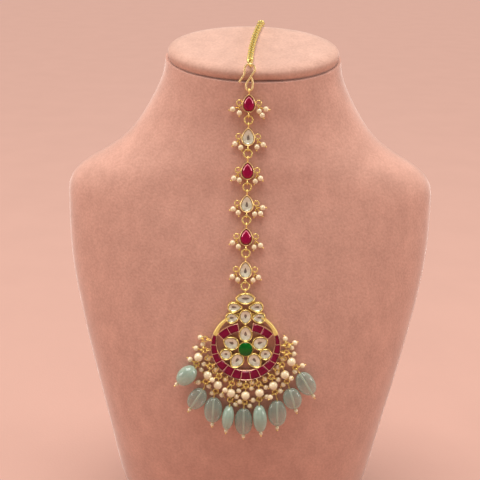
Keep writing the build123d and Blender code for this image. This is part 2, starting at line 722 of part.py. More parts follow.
def make_side_bunch(plane, bunch, settled):
    """Ring beside the top of the crescent with its pearls."""
    ring_centre = Vector(*rim_place(bunch.rim, STRAND_RING_OUT), RIM_HEIGHT)
    pieces = [wire_ring(ring_centre, (0, 0, 1), STRAND_RING_RADIUS, STRAND_RING_WIRE)]
    for u, v in bunch.pearls:
        pieces += strand_pin(ring_centre, settle(plane, u, v, settled), SMALL_PEARL)
    return join(pieces)


def make_bead(plane, strand):
    """Flattened oval bead, drilled along its length."""
    _, _, _, bead, axis = strand_parts(plane, strand)
    oval = scale(Sphere(0.5), by=(strand.width, strand.length, strand.depth))
    hole = Rot(90, 0, 0) * Cylinder(BEAD_HOLE, 2 * strand.length)
    return Plane(origin=bead, x_dir=Vector(0, 0, 1).cross(axis), z_dir=(0, 0, 1)).location * (oval - hole)


def export_fringe(plane):
    settled = []
    for strand in STRANDS:
        _, pearl, _, _, _ = strand_parts(plane, strand)
        settled.append((pearl.X, pearl.Y, pearl.Z, LARGE_PEARL))
    for number, strand in enumerate(STRANDS):
        save(f"mint_bead_{number + 1}", plane.location * make_bead(plane, strand))
        solids = [plane.location * make_strand(plane, number, settled)]
        if number in SIDE_BUNCHES:
            solids.append(plane.location * make_side_bunch(plane, SIDE_BUNCHES[number], settled))
        save(f"pearl_strand_{number + 1}", solids)


# ---------------------------------------------------------------- assembly

planes = link_planes()
export_links(planes)

hook = hook_plane(planes[0])
save("s_hook", make_hook(hook))
chain, chain_end = make_chain(hook.from_local_coords((0, HOOK_POINTS[2].up, 0)))
save("hair_chain", chain)
pin, pin_hole = make_pin(chain_end)
save("chain_pin", pin)
save("bust_body", BUST - pin_hole)
save("neck_cap", make_cap())

pendant_frame, bail_up = make_pendant_frame()
drop = LINK_PITCH - LOOP_REACH + bail_up - BAIL_TAKE_UP
on_chest = seat(PENDANT_X, walk_down(PENDANT_X, planes[-1].origin.Z, drop))
pendant = Plane(on_chest.location * Pos(0, 0, SEAT_GAP) * Rot(0, 0, PENDANT_TURN))
save("pendant_frame", pendant.location * pendant_frame)
export_jump_rings(planes, pendant.from_local_coords((0, bail_up, LOOP_HEIGHT - SEAT_GAP)))
export_pendant_stones(pendant.location)
export_fringe(pendant)
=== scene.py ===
import bmesh
import bpy
import math
import random
from collections import namedtuple
from mathutils import Matrix, Vector
from mathutils.bvhtree import BVHTree


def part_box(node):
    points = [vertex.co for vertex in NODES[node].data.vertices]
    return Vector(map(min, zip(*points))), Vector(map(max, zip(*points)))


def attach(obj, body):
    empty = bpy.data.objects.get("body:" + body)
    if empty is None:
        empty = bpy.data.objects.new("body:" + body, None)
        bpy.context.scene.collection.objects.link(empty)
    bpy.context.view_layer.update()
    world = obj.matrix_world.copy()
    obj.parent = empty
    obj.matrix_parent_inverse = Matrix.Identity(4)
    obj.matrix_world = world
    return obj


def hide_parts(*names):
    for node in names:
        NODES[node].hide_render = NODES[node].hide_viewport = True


# A maang tikka on a neck display bust. Lengths here are millimetres in the CAD's frame;
# each mesh turns them into metres when it is made.

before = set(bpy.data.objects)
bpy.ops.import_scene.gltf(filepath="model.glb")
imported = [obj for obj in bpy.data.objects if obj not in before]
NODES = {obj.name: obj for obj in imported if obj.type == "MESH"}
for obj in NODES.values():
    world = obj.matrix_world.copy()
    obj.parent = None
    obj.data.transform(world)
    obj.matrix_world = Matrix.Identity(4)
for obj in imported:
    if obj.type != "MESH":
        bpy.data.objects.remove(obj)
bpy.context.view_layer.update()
MM = 0.001
TURN = 2 * math.pi
SEED = 7
X, Y, Z = Vector((1, 0, 0)), Vector((0, 1, 0)), Vector((0, 0, 1))

# ---------------------------------------------------------------- sizes, as in the CAD

SEAT_GAP = 0.3
STONE_GAP = 0.05
BEZEL_HEIGHT = 2.4
BEZEL_WALL = 0.5
POCKET_DEPTH = 1.4
FLOOR = BEZEL_HEIGHT - POCKET_DEPTH

LINK_LENGTH = 8.7
LINK_WIDTH = 6.5
LOOP_RADIUS = 1.15
LOOP_WIRE = 0.32
LOOP_SINK = 0.2
LOOP_HEIGHT = 1.8
LOOP_REACH = LINK_LENGTH / 2 - LOOP_SINK + LOOP_RADIUS + LOOP_WIRE
JUMP_RING_RADIUS = 1.94
JUMP_RING_WIRE = 0.36
CURL_OUT = 4.5
CURL_UP = 0.1
CURL_RADIUS = 1.25
CURL_WIRE = 0.28
EYE_RADIUS = 0.65
EYE_WIRE = 0.25
EYE_DROP = 0.04
PIN_WIRE = 0.2
SMALL_PEARL = 1.33
TIP_BALL = 0.42
TIP_REACH = 0.35

HOOK_WIRE = 0.43
HOOK_LEAN = 9.5
HOOK_PLAY = 0.08
# Corners of the hook's wire: across, up, and the radius of the bend
HOOK_POINTS = (
    (-4.65, 3.9, 0), (-2.4, 7.3, 2.5), (-2.4, 12.0, 2.3), (2.4, 12.0, 2.3), (2.4, 9.0, 2.0),
    (-1.55, 3.0, 3.0), (-1.55, 0.0, 1.5), (1.5, 0.0, 1.5), (1.6, 3.4, 2.5), (0.95, 5.6, 0),
)

NECK_TOP_HEIGHT = 257.2
NECK_TOP_DEPTH = 9.5
NECK_TOP_SLOPE = 13.5
CAP_HALF_WIDTH = 42.4
CAP_HALF_DEPTH = 30.6
CAP_THICKNESS = 6.5
CAP_TOP_ROUND = 4.5
CAP_GAP = 0.1

CHAIN_RADIUS = 1.55
CHAIN_RING_RADIUS = 1.75
CHAIN_RING_WIRE = 0.4
CHAIN_RING_TWIST = 30.0
CHAIN_CORNER_ROOM = 0.45
# Route of the chain: (x, place towards the back) on the cap, (x, degrees from its top) over its back
# edge, and places in space behind the neck
CHAIN_ON_CAP = ((-1.7, -21.5), (-1.3, -13), (-0.6, -4), (0.4, 6), (1.6, 15), (2.8, 22))
CHAIN_OVER_EDGE = ((3.7, 14), (4.3, 45), (4.8, 76))
CHAIN_BEHIND = ((5.4, 42.5, 262.0), (5.9, 42.5, 255.5), (6.2, 42.5, 248.5), (6.6, 42.9, 241.0))

PENDANT_TURN = 1.5
RING_OUTER = 17.0
RING_INNER = 14.1
RING_INNER_UP = 2.2
RING_STONES_UP_TO = 23.0
RING_STONES = 13
ARCS_REACH = 62.0
GREEN_UP = -1.1
GREEN_RADIUS = 3.3
GREEN_DOME = 1.3
ARC_CENTRE_UP = -7.0
ARC_INNER = 15.0
ARC_OUTER = 19.3
ARC_FROM = 11.0
ARC_TO = 45.0
PENDANT_LOOP_SINK = 0.5

# Clear stones by place and size, with the way of their tip in degrees; a twin is a mirrored second one.
# Petals are placed by their way and distance from the green stone.
Kundan = namedtuple("Kundan", "node shape u v length width tip twin")
PETAL_LENGTH = 8.2
PETAL_WIDTH = 6.8
KUNDAN = (
    Kundan("crown_top", "navette", 0.0, 24.1, 9.8, 5.6, 0, False),
    Kundan("crown_upper", "pear", 5.0, 19.8, 7.4, 5.2, 180, True),
    Kundan("crown_mid", "pear", 0.0, 15.0, 7.6, 6.4, -90, False),
    Kundan("crown_lower", "pear", 6.4, 14.5, 6.8, 5.5, 180, True),
    Kundan("petal_side", "pear", 9.7, -3.8, 6.3, 5.8, 10, True),
)
PETALS = (("petal_top", 90, 7.8, False), ("petal_upper", 23, 7.8, True), ("petal_lower", -54, 7.5, True))
# Solder spots: place and radius
SOLDER = ((0.0, 10.9, 0.6), (2.1, 18.8, 0.7), (-2.1, 18.8, 0.7), (3.7, 22.4, 0.9), (-3.7, 22.4, 0.9))

LARGE_PEARL = 2.2
SEED_PEARL = 1.0
RIM_LOOP_OUT = 18.25
RIM_LOOP_RADIUS = 1.15
RIM_LOOP_WIRE = 0.28
RIM_HEIGHT = 1.3
STRAND_RING_OUT = 20.0
STRAND_RING_RADIUS = 1.25
STRAND_RING_WIRE = 0.28
LOWER_RING_DROP = 3.8
LOWER_RING_HEIGHT = 1.8
BEAD_HOLE = 0.6
BEAD_PIN = 0.3
# Strands of the fringe: degrees of the rim ring from straight down, places of the large pearl and the
# mint bead, the bead's size and its tilt, and the small pearls hung from the upper and the lower ring
Strand = namedtuple("Strand", "rim pearl bead width length depth tilt upper lower")
STRANDS = (
    Strand(-85, (-23.0, -5.6), (-28.9, -14.8), 8.6, 11.4, 8.6, -48,
           ((-20.8, 0.6), (-24.2, -1.4)), ((-27.2, -7.4), (-21.8, -12.4))),
    Strand(-60, (-18.6, -14.8), (-24.1, -27.3), 8.9, 11.6, 6.4, -33,
           ((-18.2, -6.4), (-20.4, -9.4)), ((-23.4, -19.2), (-18.2, -20.9))),
    Strand(-41, (-13.7, -19.8), (-16.2, -33.0), 9.2, 13.2, 6.4, -4,
           ((-14.6, -12.1), (-16.4, -16.5)), ((-11.9, -25.5), (-16.6, -24.6))),
    Strand(-20, (-7.4, -23.9), (-8.9, -36.3), 6.0, 12.2, 9.0, -8,
           ((-9.8, -16.9), (-10.2, -22.0)), ((-4.6, -26.2), (-5.2, -30.3))),
    Strand(0, (-0.2, -25.2), (-1.2, -39.0), 9.1, 13.7, 6.4, -1,
           ((-3.0, -19.2), (2.7, -21.6), (-3.4, -22.9)), ((-3.0, -28.8), (1.8, -31.2))),
    Strand(18, (6.7, -23.8), (6.9, -36.9), 7.0, 13.7, 9.0, 3,
           ((3.0, -18.5), (9.8, -21.3)), ((3.5, -28.1), (10.3, -26.4))),
    Strand(39, (13.4, -20.2), (15.4, -34.9), 9.4, 13.3, 6.4, 0,
           ((9.3, -16.8), (15.8, -17.4)), ((12.0, -25.9), (17.0, -23.6))),
    Strand(62, (19.1, -14.7), (22.9, -27.3), 9.2, 11.0, 6.4, 16,
           ((15.4, -13.8), (15.6, -11.0)), ((18.4, -20.2), (22.2, -16.4))),
    Strand(81, (22.2, -8.1), (29.5, -19.8), 9.2, 12.6, 6.4, 30,
           ((18.0, -6.8), (23.4, -4.4)), ((27.7, -10.8), (24.0, -13.6))),
)
# Short bunches beside the top of the ring, by strand: degrees of their rim ring, and their pearls
SIDE_BUNCHES = {0: (-101, ((-22.0, 4.2),)), 8: (92, ((19.2, 3.4), (23.9, 1.2), (22.3, -1.2)))}
# Small pearls on the left and on the right of each link
LINK_PEARLS = (
    (((-7.6, -3.0), (-4.4, -4.6)), ((4.8, -3.6), (8.0, -2.6), (6.3, -5.5))),
    (((-6.2, -3.4), (-3.4, -5.1)), ((4.2, -4.7), (7.1, -3.6))),
    (((-6.4, -3.8), (-3.8, -4.6)), ((6.2, -3.6), (3.7, -5.0))),
    (((-6.5, -2.7), (-4.0, -4.4)), ((7.6, -1.8), (6.6, -4.6), (3.8, -4.9))),
    (((-6.4, -3.0), (-3.6, -4.7)), ((3.9, -4.9), (6.9, -4.0))),
    (((-6.2, -3.5), (-3.6, -4.9)), ((6.3, -3.6), (3.7, -5.0))),
)


# ---------------------------------------------------------------- materials

class Nodes:
    """A material's node tree with short helpers."""

    def __init__(self, name):
        self.material = bpy.data.materials.new(name)
        self.material.use_nodes = True
        self.tree = self.material.node_tree
        self.shader = self.tree.nodes["Principled BSDF"]
        self.place = self.tree.nodes.new("ShaderNodeTexCoord").outputs["Object"]

    def set(self, **values):
        for key, value in values.items():
            self.shader.inputs[key.replace("_", " ")].default_value = value

    def node(self, kind, values, sources):
        """Shader node with some inputs set to values and some linked to sources."""
        node = self.tree.nodes.new(kind)
        for name, value in values.items():
            node.inputs[name].default_value = value
        for name, source in sources.items():
            self.tree.links.new(source, node.inputs[name])
        return node

    def noise(self, size, detail, stretch=(1, 1, 1)):
        """Noise whose features are about size millimetres across."""
        mapping = self.node("ShaderNodeMapping", {"Scale": stretch}, {"Vector": self.place})
        values = {"Scale": 1 / (size * MM), "Detail": detail}
        return self.node("ShaderNodeTexNoise", values, {"Vector": mapping.outputs["Vector"]}).outputs["Fac"]

    def ramp(self, source, stops):
        node = self.node("ShaderNodeValToRGB", {}, {"Fac": source})
        for mark, (position, colour) in zip(node.color_ramp.elements, stops):
            mark.position = position
            mark.color = (*colour, 1)
        return node.outputs["Color"]

    def multiply(self, first, second):
        node = self.tree.nodes.new("ShaderNodeMix")
        node.data_type = "RGBA"
        node.blend_type = "MULTIPLY"
        node.inputs["Factor"].default_value = 1.0
        self.tree.links.new(first, node.inputs["A"])
        self.tree.links.new(second, node.inputs["B"])
        return node.outputs["Result"]

    def to(self, source, name):
        self.tree.links.new(source, self.shader.inputs[name])

    def tint(self, colour, size, detail, low, high, marks=(0.3, 0.7)):
        """Base colour that wanders between two shares of a colour."""
        stops = tuple(zip(marks, (shade(colour, low), shade(colour, high))))
        self.to(self.ramp(self.noise(size, detail), stops), "Base Color")

    def bump(self, source, height):
        """Bump of a height in millimetres."""
        values = {"Distance": height * MM, "Strength": 1.0}
        self.to(self.node("ShaderNodeBump", values, {"Height": source}).outputs["Normal"], "Normal")


def shade(colour, factor):
    return tuple(min(1.0, channel * factor) for channel in colour)


def velvet(name, colour, sheen):
    """Short nap: patches and long strokes where it is brushed, fine grain, and a sheen at the edges."""
    n = Nodes(name)
    patches = n.ramp(n.noise(12, 4), ((0.3, shade(colour, 0.93)), (0.7, shade(colour, 1.06))))
    strokes = n.ramp(n.noise(6, 4, (1, 1, 0.4)), ((0.35, (0.94, 0.93, 0.93)), (0.65, (1.01, 1.01, 1.01))))
    grain = n.ramp(n.noise(1.1, 5), ((0.32, (0.87, 0.855, 0.85)), (0.68, (1.02, 1.02, 1.02))))
    n.to(n.multiply(patches, n.multiply(strokes, grain)), "Base Color")
    n.set(Roughness=0.85, Sheen_Weight=sheen, Sheen_Roughness=0.35,
          Sheen_Tint=(1.0, 0.92, 0.87, 1), Specular_IOR_Level=0.1)
    n.bump(n.noise(1.1, 5), 0.13)
    return n.material


def metal(name, colour, roughness, grain=0.6, height=0.01, stretch=(1, 1, 1), metallic=0.85):
    """Plated metal: slightly uneven tone and polish over fine grain."""
    n = Nodes(name)
    n.tint(colour, 3.0, 3, 0.92, 1, (0.35, 0.65))
    low, high = roughness * 0.75, roughness * 1.25
    n.to(n.ramp(n.noise(grain, 3), ((0.3, (low,) * 3), (0.7, (high,) * 3))), "Roughness")
    n.set(Metallic=metallic)
    n.bump(n.noise(grain, 2, stretch), height)
    return n.material


def pearl_lustre(name, colour):
    """Off white body under a glossy coat."""
    n = Nodes(name)
    n.tint(colour, 2.2, 2, 0.94, 1.04, (0.35, 0.65))
    n.set(Roughness=0.25, Coat_Weight=1.0, Coat_Roughness=0.1, Specular_IOR_Level=0.7)
    n.bump(n.noise(0.7, 2), 0.012)
    return n.material


def jewel(name, colour, metallic, roughness=0.12, polish=0.3):
    """Foil backed stone: tinted foil under a clear polished coat."""
    n = Nodes(name)
    n.tint(colour, 1.6, 2, 0.75, 1.2)
    n.set(Roughness=roughness, Metallic=metallic, Coat_Weight=polish, Coat_Roughness=0.04,
          Specular_IOR_Level=0.2)
    return n.material


def see_through(name, colour, facing, edge, roughness=0.1):
    """Clear or cloudy stone: opacity goes from facing, seen straight on, to edge."""
    n = Nodes(name)
    n.tint(colour, 3.2, 3, 0.85, 1.1)
    weight = n.node("ShaderNodeLayerWeight", {"Blend": 0.45}, {})
    limits = {"To Min": facing, "To Max": edge}
    n.to(n.node("ShaderNodeMapRange", limits, {"Value": weight.outputs["Facing"]}).outputs["Result"], "Alpha")
    n.set(Roughness=roughness, Coat_Weight=0.8, Coat_Roughness=0.06, Specular_IOR_Level=0.6)
    return n.material


GOLD = metal("gold", (0.91, 0.70, 0.24), 0.29, metallic=0.76)
GOLD_BRUSHED = metal("gold_brushed", (0.98, 0.80, 0.27), 0.42, 0.35, 0.02, (1, 1, 6), 0.6)
GOLD_PALE = metal("gold_pale", (0.96, 0.72, 0.34), 0.32, height=0.004, metallic=0.7)
GOLD_CHAIN = metal("gold_chain", (1.0, 0.84, 0.30), 0.28, height=0.004, metallic=0.75)
# Dark gold for the chain's core: painted shade in the gaps between its bows.
GOLD_PAINTED_SHADE = metal("gold_painted_shade", (0.42, 0.27, 0.06), 0.45)
GOLD_ROSE = metal("gold_rose", (0.92, 0.60, 0.42), 0.3, metallic=0.7)
STEEL = metal("steel", (0.62, 0.62, 0.64), 0.3)
VELVET = velvet("bust_velvet", (0.67, 0.372, 0.287), 1.0)
# The cap's velvet is a paler copy of the bust's: painted light on its top.
CAP_VELVET_PAINTED_LIGHT = velvet("cap_velvet", (0.665, 0.405, 0.315), 0.6)
PEARL = pearl_lustre("pearl", (0.85, 0.70, 0.44))
RUBY = jewel("ruby", (0.20, 0.0, 0.03), 0.1, polish=0.12)
LINK_RUBY = jewel("link_ruby", (0.34, 0.0, 0.045), 0.1, polish=0.2)
# Paler ruby for a few facets beside the tip of a link's stone: a painted highlight.
RUBY_PAINTED_HIGHLIGHT = jewel("ruby_painted_highlight", (0.85, 0.28, 0.34), 0.1)
CLEAR_FOIL = jewel("clear_foil", (0.97, 0.86, 0.65), 0.25, 0.2, 0.5)
# The foil's second tone is a painted dark reflection, for the middle of each hollow.
FOIL_WITH_PAINTED_REFLECTION = (CLEAR_FOIL, jewel("foil_painted_dark_reflection", (0.27, 0.20, 0.15), 0.4, 0.2))
GREEN = jewel("green_stone", (0.0, 0.115, 0.004), 0.0, 0.06, 0.3)
GLASS = see_through("clear_glass", (0.9, 0.9, 0.85), 0.05, 0.4, 0.05)
MINT = see_through("mint_stone", (0.36, 0.48, 0.395), 0.34, 0.85)
MINT_DENSE = see_through("mint_dense", (0.38, 0.52, 0.415), 0.62, 0.92, 0.14)
MINT_CORE = see_through("mint_core", (0.75, 0.82, 0.72), 0.5, 0.6, 0.4)
# Depth from which a mint bead is of the denser stone
DENSE_FROM = 8.0


# ---------------------------------------------------------------- mesh building

def new_object(name, data):
    thing = bpy.data.objects.new(name, data)
    bpy.context.scene.collection.objects.link(thing)
    return thing


class Shape:
    """Points and faces of one piece."""

    def __init__(self):
        self.points = []
        self.faces = []
        self.smooth = []
        self.tones = []

    def add(self, part, place=None, smooth=True, tone=0):
        points, faces = part
        start = len(self.points)
        points = [Vector(point) for point in points]
        self.points += [place @ point for point in points] if place else points
        self.faces += [tuple(start + corner for corner in face) for face in faces]
        self.smooth += [smooth] * len(faces)
        self.tones += [tone] * len(faces)
        return self

    def make(self, name, material, slot, *replaces, crease=40):
        """Mesh object that rides the body; edges sharper than crease, in degrees, are drawn sharp."""
        mesh = bpy.data.meshes.new(name)
        mesh.from_pydata([point * MM for point in self.points], [], self.faces)
        work = bmesh.new()
        work.from_mesh(mesh)
        bmesh.ops.recalc_face_normals(work, faces=work.faces)
        work.to_mesh(mesh)
        work.free()
        mesh.polygons.foreach_set("use_smooth", self.smooth)
        mesh.polygons.foreach_set("material_index", self.tones)
        mesh.set_sharp_from_angle(angle=math.radians(crease))
        for tone in material if isinstance(material, tuple) else (material,):
            mesh.materials.append(tone)
        piece = new_object(name, mesh)
        if replaces:
            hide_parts(*replaces)
        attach(piece, "root")
        return piece


def strip(rings, wrap=False, start=False, end=False):
    """Skin over rings of equally many points; wrap joins the last ring to the first,
    start and end close the two open ends with a flat face."""
    count = len(rings[0])
    points = [point for ring in rings for point in ring]
    faces = []
    for i in range(len(rings) if wrap else len(rings) - 1):
        a, b = i * count, ((i + 1) % len(rings)) * count
        for k in range(count):
            j = (k + 1) % count
            faces.append((a + k, a + j, b + j, b + k))
    if start:
        faces.append(tuple(reversed(range(count))))
    if end:
        faces.append(tuple(range((len(rings) - 1) * count, len(rings) * count)))
    return points, faces


def closed(rings):
    return strip(rings, start=True, end=True)


def spaced(start, end, steps):
    """Values at equal steps from start to end, with both."""
    return [start + (end - start) * k / steps for k in range(steps + 1)]


def polar(radius, turn):
    return radius * math.cos(turn), radius * math.sin(turn)


def circle(count, radius):
    return [polar(radius, turn) for turn in spaced(0, TURN, count)[:-1]]


def axes(x, y, z, origin):
    """Matrix that turns X, Y and Z to three directions, and moves the origin to a place."""
    return Matrix([[column[row] for column in (x, y, z, origin)] for row in range(3)] + [(0, 0, 0, 1)])


def frame_at(origin, along):
    """Matrix whose Z runs along a direction, with its X level where it can be."""
    z = Vector(along).normalized()
    x = (X if abs(z.z) > 0.95 else Z).cross(z).normalized()
    return axes(x, z.cross(x), z, origin)


def turned(outline, count):
    """Solid of revolution about Z from (radius, height) pairs, closed at both ends."""
    return closed([[(x, y, height) for x, y in circle(count, radius)] for radius, height in outline])


def ball(radius, count, hole=0.0):
    """Ball about the origin, with flats of radius hole at its poles."""
    hole = max(hole, 0.04 * radius)
    edge = math.asin(hole / radius)
    quarter = math.pi / 2
    latitudes = spaced(quarter - edge, edge - quarter, max(6, count // 2))
    return turned([polar(radius, latitude) for latitude in latitudes], count)


def ring(radius, wire, count, sides=10, gap=0.0):
    """Wire ring about Z; a gap in degrees leaves it open, like a jump ring."""
    rings = []
    half_gap = math.radians(gap / 2)
    turns = spaced(half_gap, TURN - half_gap, count)
    for turn in turns if gap else turns[:-1]:
        rings.append([((radius + x) * math.cos(turn), (radius + x) * math.sin(turn), z)
                      for x, z in circle(sides, wire)])
    return strip(rings, wrap=not gap, start=bool(gap), end=bool(gap))


def tube(path, radius, sides):
    """Round tube along points, with rounded ends."""
    first = (path[1] - path[0]).normalized()
    last = (path[-1] - path[-2]).normalized()
    reach, shares = (0.95, 0.7, 0.35), (0.3, 0.72, 0.94)
    centres = [path[0] - first * radius * out for out in reach] + path
    centres += [path[-1] + last * radius * out for out in reach[::-1]]
    widths = [radius * share for share in shares + (1,) * len(path) + shares[::-1]]
    side = frame_at(path[0], first).col[0].to_3d()
    rings = []
    for k, centre in enumerate(centres):
        before, after = centres[max(k - 1, 0)], centres[min(k + 1, len(centres) - 1)]
        way = (after - before).normalized()
        side = (side - way * side.dot(way)).normalized()
        other = way.cross(side)
        rings.append([centre + side * x + other * y for x, y in circle(sides, widths[k])])
    return closed(rings)


def rounded(points, radii):
    """Polyline with its corners turned into arcs, which have a point about every 12 degrees."""
    path = [points[0]]
    for before, corner, after, radius in zip(points, points[1:], points[2:], radii):
        a, b = (before - corner).normalized(), (after - corner).normalized()
        half = a.angle(b) / 2
        back = radius / math.tan(half)
        centre = corner + (a + b).normalized() * radius / math.sin(half)
        start, end = corner + a * back - centre, corner + b * back - centre
        steps = max(2, round(math.degrees(math.pi - 2 * half) / 12))
        path += [centre + start.slerp(end, k / steps) * radius for k in range(steps + 1)]
    path.append(points[-1])
    return path


def smooth_route(points):
    """Quadratic spline that touches the middle of every run between the points."""
    middles = [points[0]] + [(a + b) / 2 for a, b in zip(points[1:-2], points[2:-1])] + [points[-1]]
    route = [points[0]]
    for start, corner, end in zip(middles, points[1:-1], middles[1:]):
        for t in spaced(0, 1, 8)[1:]:
            route.append(start * (1 - t) ** 2 + corner * 2 * t * (1 - t) + end * t**2)
    return route


def evenly(route, pitch):
    """Points, and the way at each, at equal steps along a route."""
    found = []
    left = 0.0
    for a, b in zip(route, route[1:]):
        run = b - a
        while left <= run.length:
            found.append((a + run.normalized() * left, run.normalized()))
            left += pitch
        left -= run.length
    return found


# ---------------------------------------------------------------- outlines

def arc_points(centre, radius, start, end, steps):
    """Points on an arc, without its last one."""
    places = [polar(radius, turn) for turn in spaced(start, end, steps)[:-1]]
    return [(centre[0] + x, centre[1] + y) for x, y in places]


def pear(length, width, inset, flank_steps, round_steps):
    """Pear outline with its tip on +X, centred on its length, drawn smaller all round by inset."""
    half = width / 2
    flank = (half**2 + (length - half) ** 2) / width
    centre = flank - half
    tip_turn = math.acos(min(1.0, centre / (flank - inset)))
    quarter = math.pi / 2
    points = arc_points((0, -centre), flank - inset, quarter - tip_turn, quarter, flank_steps)
    points += arc_points((0, 0), half - inset, quarter, 3 * quarter, round_steps)
    points += arc_points((0, centre), flank - inset, 3 * quarter, 3 * quarter + tip_turn, flank_steps)
    return [(x + half - length / 2, y) for x, y in points]


def navette(length, width, inset, flank_steps, round_steps):
    """Outline of two arcs that meet in tips on +X and -X."""
    flank = (length**2 + width**2) / (4 * width)
    centre = flank - width / 2
    turn = math.acos(min(1.0, centre / (flank - inset)))
    quarter = math.pi / 2
    steps = flank_steps + round_steps // 2
    points = arc_points((0, -centre), flank - inset, quarter - turn, quarter + turn, steps)
    points += arc_points((0, centre), flank - inset, 3 * quarter - turn, 3 * quarter + turn, steps)
    return points


OUTLINES = {"pear": pear, "navette": navette}
Cut = namedtuple("Cut", "outline length width")
LINK_CUT = Cut(pear, LINK_LENGTH, LINK_WIDTH)


def levels(cut, profile, flank_steps, round_steps, start=False, end=False):
    """Skin over one outline drawn at several (inset, height) levels."""
    rings = []
    for inset, height in profile:
        points = cut.outline(cut.length, cut.width, inset, flank_steps, round_steps)
        rings.append([(x, y, height) for x, y in points])
    return strip(rings, start=start, end=end)


# Rim of a bezel: up outside, over a rounded edge, down inside to the pocket's floor
LINK_RIM = ((0, 0), (0, 1.75), (0.04, 2.15), (0.12, 2.42), (0.24, 2.52), (0.36, 2.42), (0.42, 2.1),
            (0.46, 1.7), (0.5, FLOOR))
RIM = ((0, 0), (0, 1.75), (0.05, 2.1), (0.15, 2.32), (0.27, 2.4), (0.39, 2.33), (0.47, 2.12), (0.5, 1.8),
       (0.5, FLOOR))
# The same for a stone under folded foil, which leaves a wide soft lip over its edge
FOLDED_RIM = ((0, 0), (0, 1.75), (0.05, 2.15), (0.15, 2.42), (0.29, 2.5), (0.42, 2.42), (0.5, 2.2),
              (0.6, 2.04), (0.84, 1.92), (0.88, FLOOR))
# Foil hollow under a clear stone, its middle in a painted dark reflection, and the stone's cut top:
# (inset, height) levels, where the insets past the rim's are shares of half the width
FOIL_LEVELS = ((0.8, 2.1), (0.45, 1.76), (0.80, 1.42))
CULET_LEVELS = ((0.80, 1.42), (0.88, 1.34))
CLEAR_LEVELS = ((0.78, 1.9), (0.86, 2.2), (0.42, 2.48), (0.62, 2.62))


def bezel(cut, rim):
    return levels(cut, rim, 16, 20, start=True, end=True)


# Cut ruby of a link: girdle, steep facets, narrow facets, upper facets and a table, and the row
# and the number from its tip of the narrow facets that take a paler colour as a painted highlight
DROP_LEVELS = ((0.62, FLOOR + STONE_GAP), (0.62, 2.05), (1.0, 2.42), (1.35, 2.72), (1.8, 2.85))
DROP_FLANK = 4
DROP_ROUND = 6
PAINTED_HIGHLIGHT_ROW = 2
PAINTED_HIGHLIGHT_FACETS = 3


def link_ruby(stone, place):
    """Pear cut stone, whose narrow facets beside the tip are paler: a painted highlight."""
    drop = levels(LINK_CUT, DROP_LEVELS, DROP_FLANK, DROP_ROUND, start=True, end=True)
    stone.add(drop, place, smooth=False)
    around = 2 * DROP_FLANK + DROP_ROUND
    # These facets take the paler tone: a painted highlight.
    for k in range(-PAINTED_HIGHLIGHT_FACETS, PAINTED_HIGHLIGHT_FACETS):
        stone.tones[PAINTED_HIGHLIGHT_ROW * around + k % around] = 1


def make_clear(name, node, cut, places):
    """Clear stones of one node: foil hollows whose middle is a painted dark reflection, under clear cut
    stones.
    """
    half = cut.width / 2

    def at_rim(rows, count):
        return [(inset if k < count else inset * half, height) for k, (inset, height) in enumerate(rows)]

    foil, glass = Shape(), Shape()
    for place in places:
        foil.add(levels(cut, at_rim(FOIL_LEVELS, 1), 5, 7), place, smooth=False)
        # The middle of the hollow takes the dark tone: a painted dark reflection.
        foil.add(levels(cut, at_rim(CULET_LEVELS, 0), 5, 7, end=True), place, smooth=False, tone=1)
        glass.add(levels(cut, at_rim(CLEAR_LEVELS, 2), 4, 6, end=True), place, smooth=False)
    foil.make(f"{name}_foil", FOIL_WITH_PAINTED_REFLECTION, "clear_stone", node, crease=1)
    glass.make(f"{name}_glass", GLASS, "clear_stone", crease=1)


# ---------------------------------------------------------------- places from the CAD

def node_mesh(name):
    return NODES[name].data


def plane_of(node, low_v=None, turn=0.0):
    """Matrix of the plane on a soldered piece's flat back: X across, Y up, Z outwards.
    The origin is the middle of its outline, or is set from where its lowest point should be."""
    backs = {}
    for face in node_mesh(node).polygons:
        if face.normal.y > 0.3:
            key = tuple(round(value, 3) for value in face.normal)
            backs.setdefault(key, [0.0, face.normal.copy(), face.center.copy()])[0] += face.area
    _, inward, point = max(backs.values(), key=lambda entry: entry[0])
    z = -inward.normalized()
    x = (X - z * z.x).normalized()
    y = z.cross(x)
    tilt = math.radians(turn)
    x, y = x * math.cos(tilt) + y * math.sin(tilt), y * math.cos(tilt) - x * math.sin(tilt)
    spots = [vertex.co / MM for vertex in node_mesh(node).vertices]
    us, vs = [spot.dot(x) for spot in spots], [spot.dot(y) for spot in spots]
    u = (min(us) + max(us)) / 2
    v = min(vs) - low_v if low_v is not None else (min(vs) + max(vs)) / 2
    return axes(x, y, z, x * u + y * v + z * (point / MM).dot(z))


def bust_tree():
    mesh = node_mesh("bust_body")
    return BVHTree.FromPolygons([vertex.co / MM for vertex in mesh.vertices],
                                [tuple(face.vertices) for face in mesh.polygons])


BUST = bust_tree()
LINK_PLANES = [plane_of(f"link_setting_{number}") @ Matrix.Translation((0, 0, -SEAT_GAP))
               for number in range(1, 7)]
PENDANT = plane_of("pendant_frame", -(RIM_LOOP_OUT + RIM_LOOP_RADIUS + RIM_LOOP_WIRE), PENDANT_TURN)


def depth_below(plane, u, v):
    """Height of the bust's surface over a plane, at a place on the plane, found from 60 mm above it."""
    start = plane @ Vector((u, v, 60))
    way = (plane.to_3x3() @ -Z).normalized()
    hit, _, _, _ = BUST.ray_cast(start, way)
    return (plane.inverted() @ hit).z


def on_pendant(u, v, height=0.0, turn=0.0):
    """Matrix of a place on the pendant's plane, turned in that plane by an angle in degrees."""
    return PENDANT @ Matrix.Translation((u, v, height)) @ Matrix.Rotation(math.radians(turn), 4, "Z")


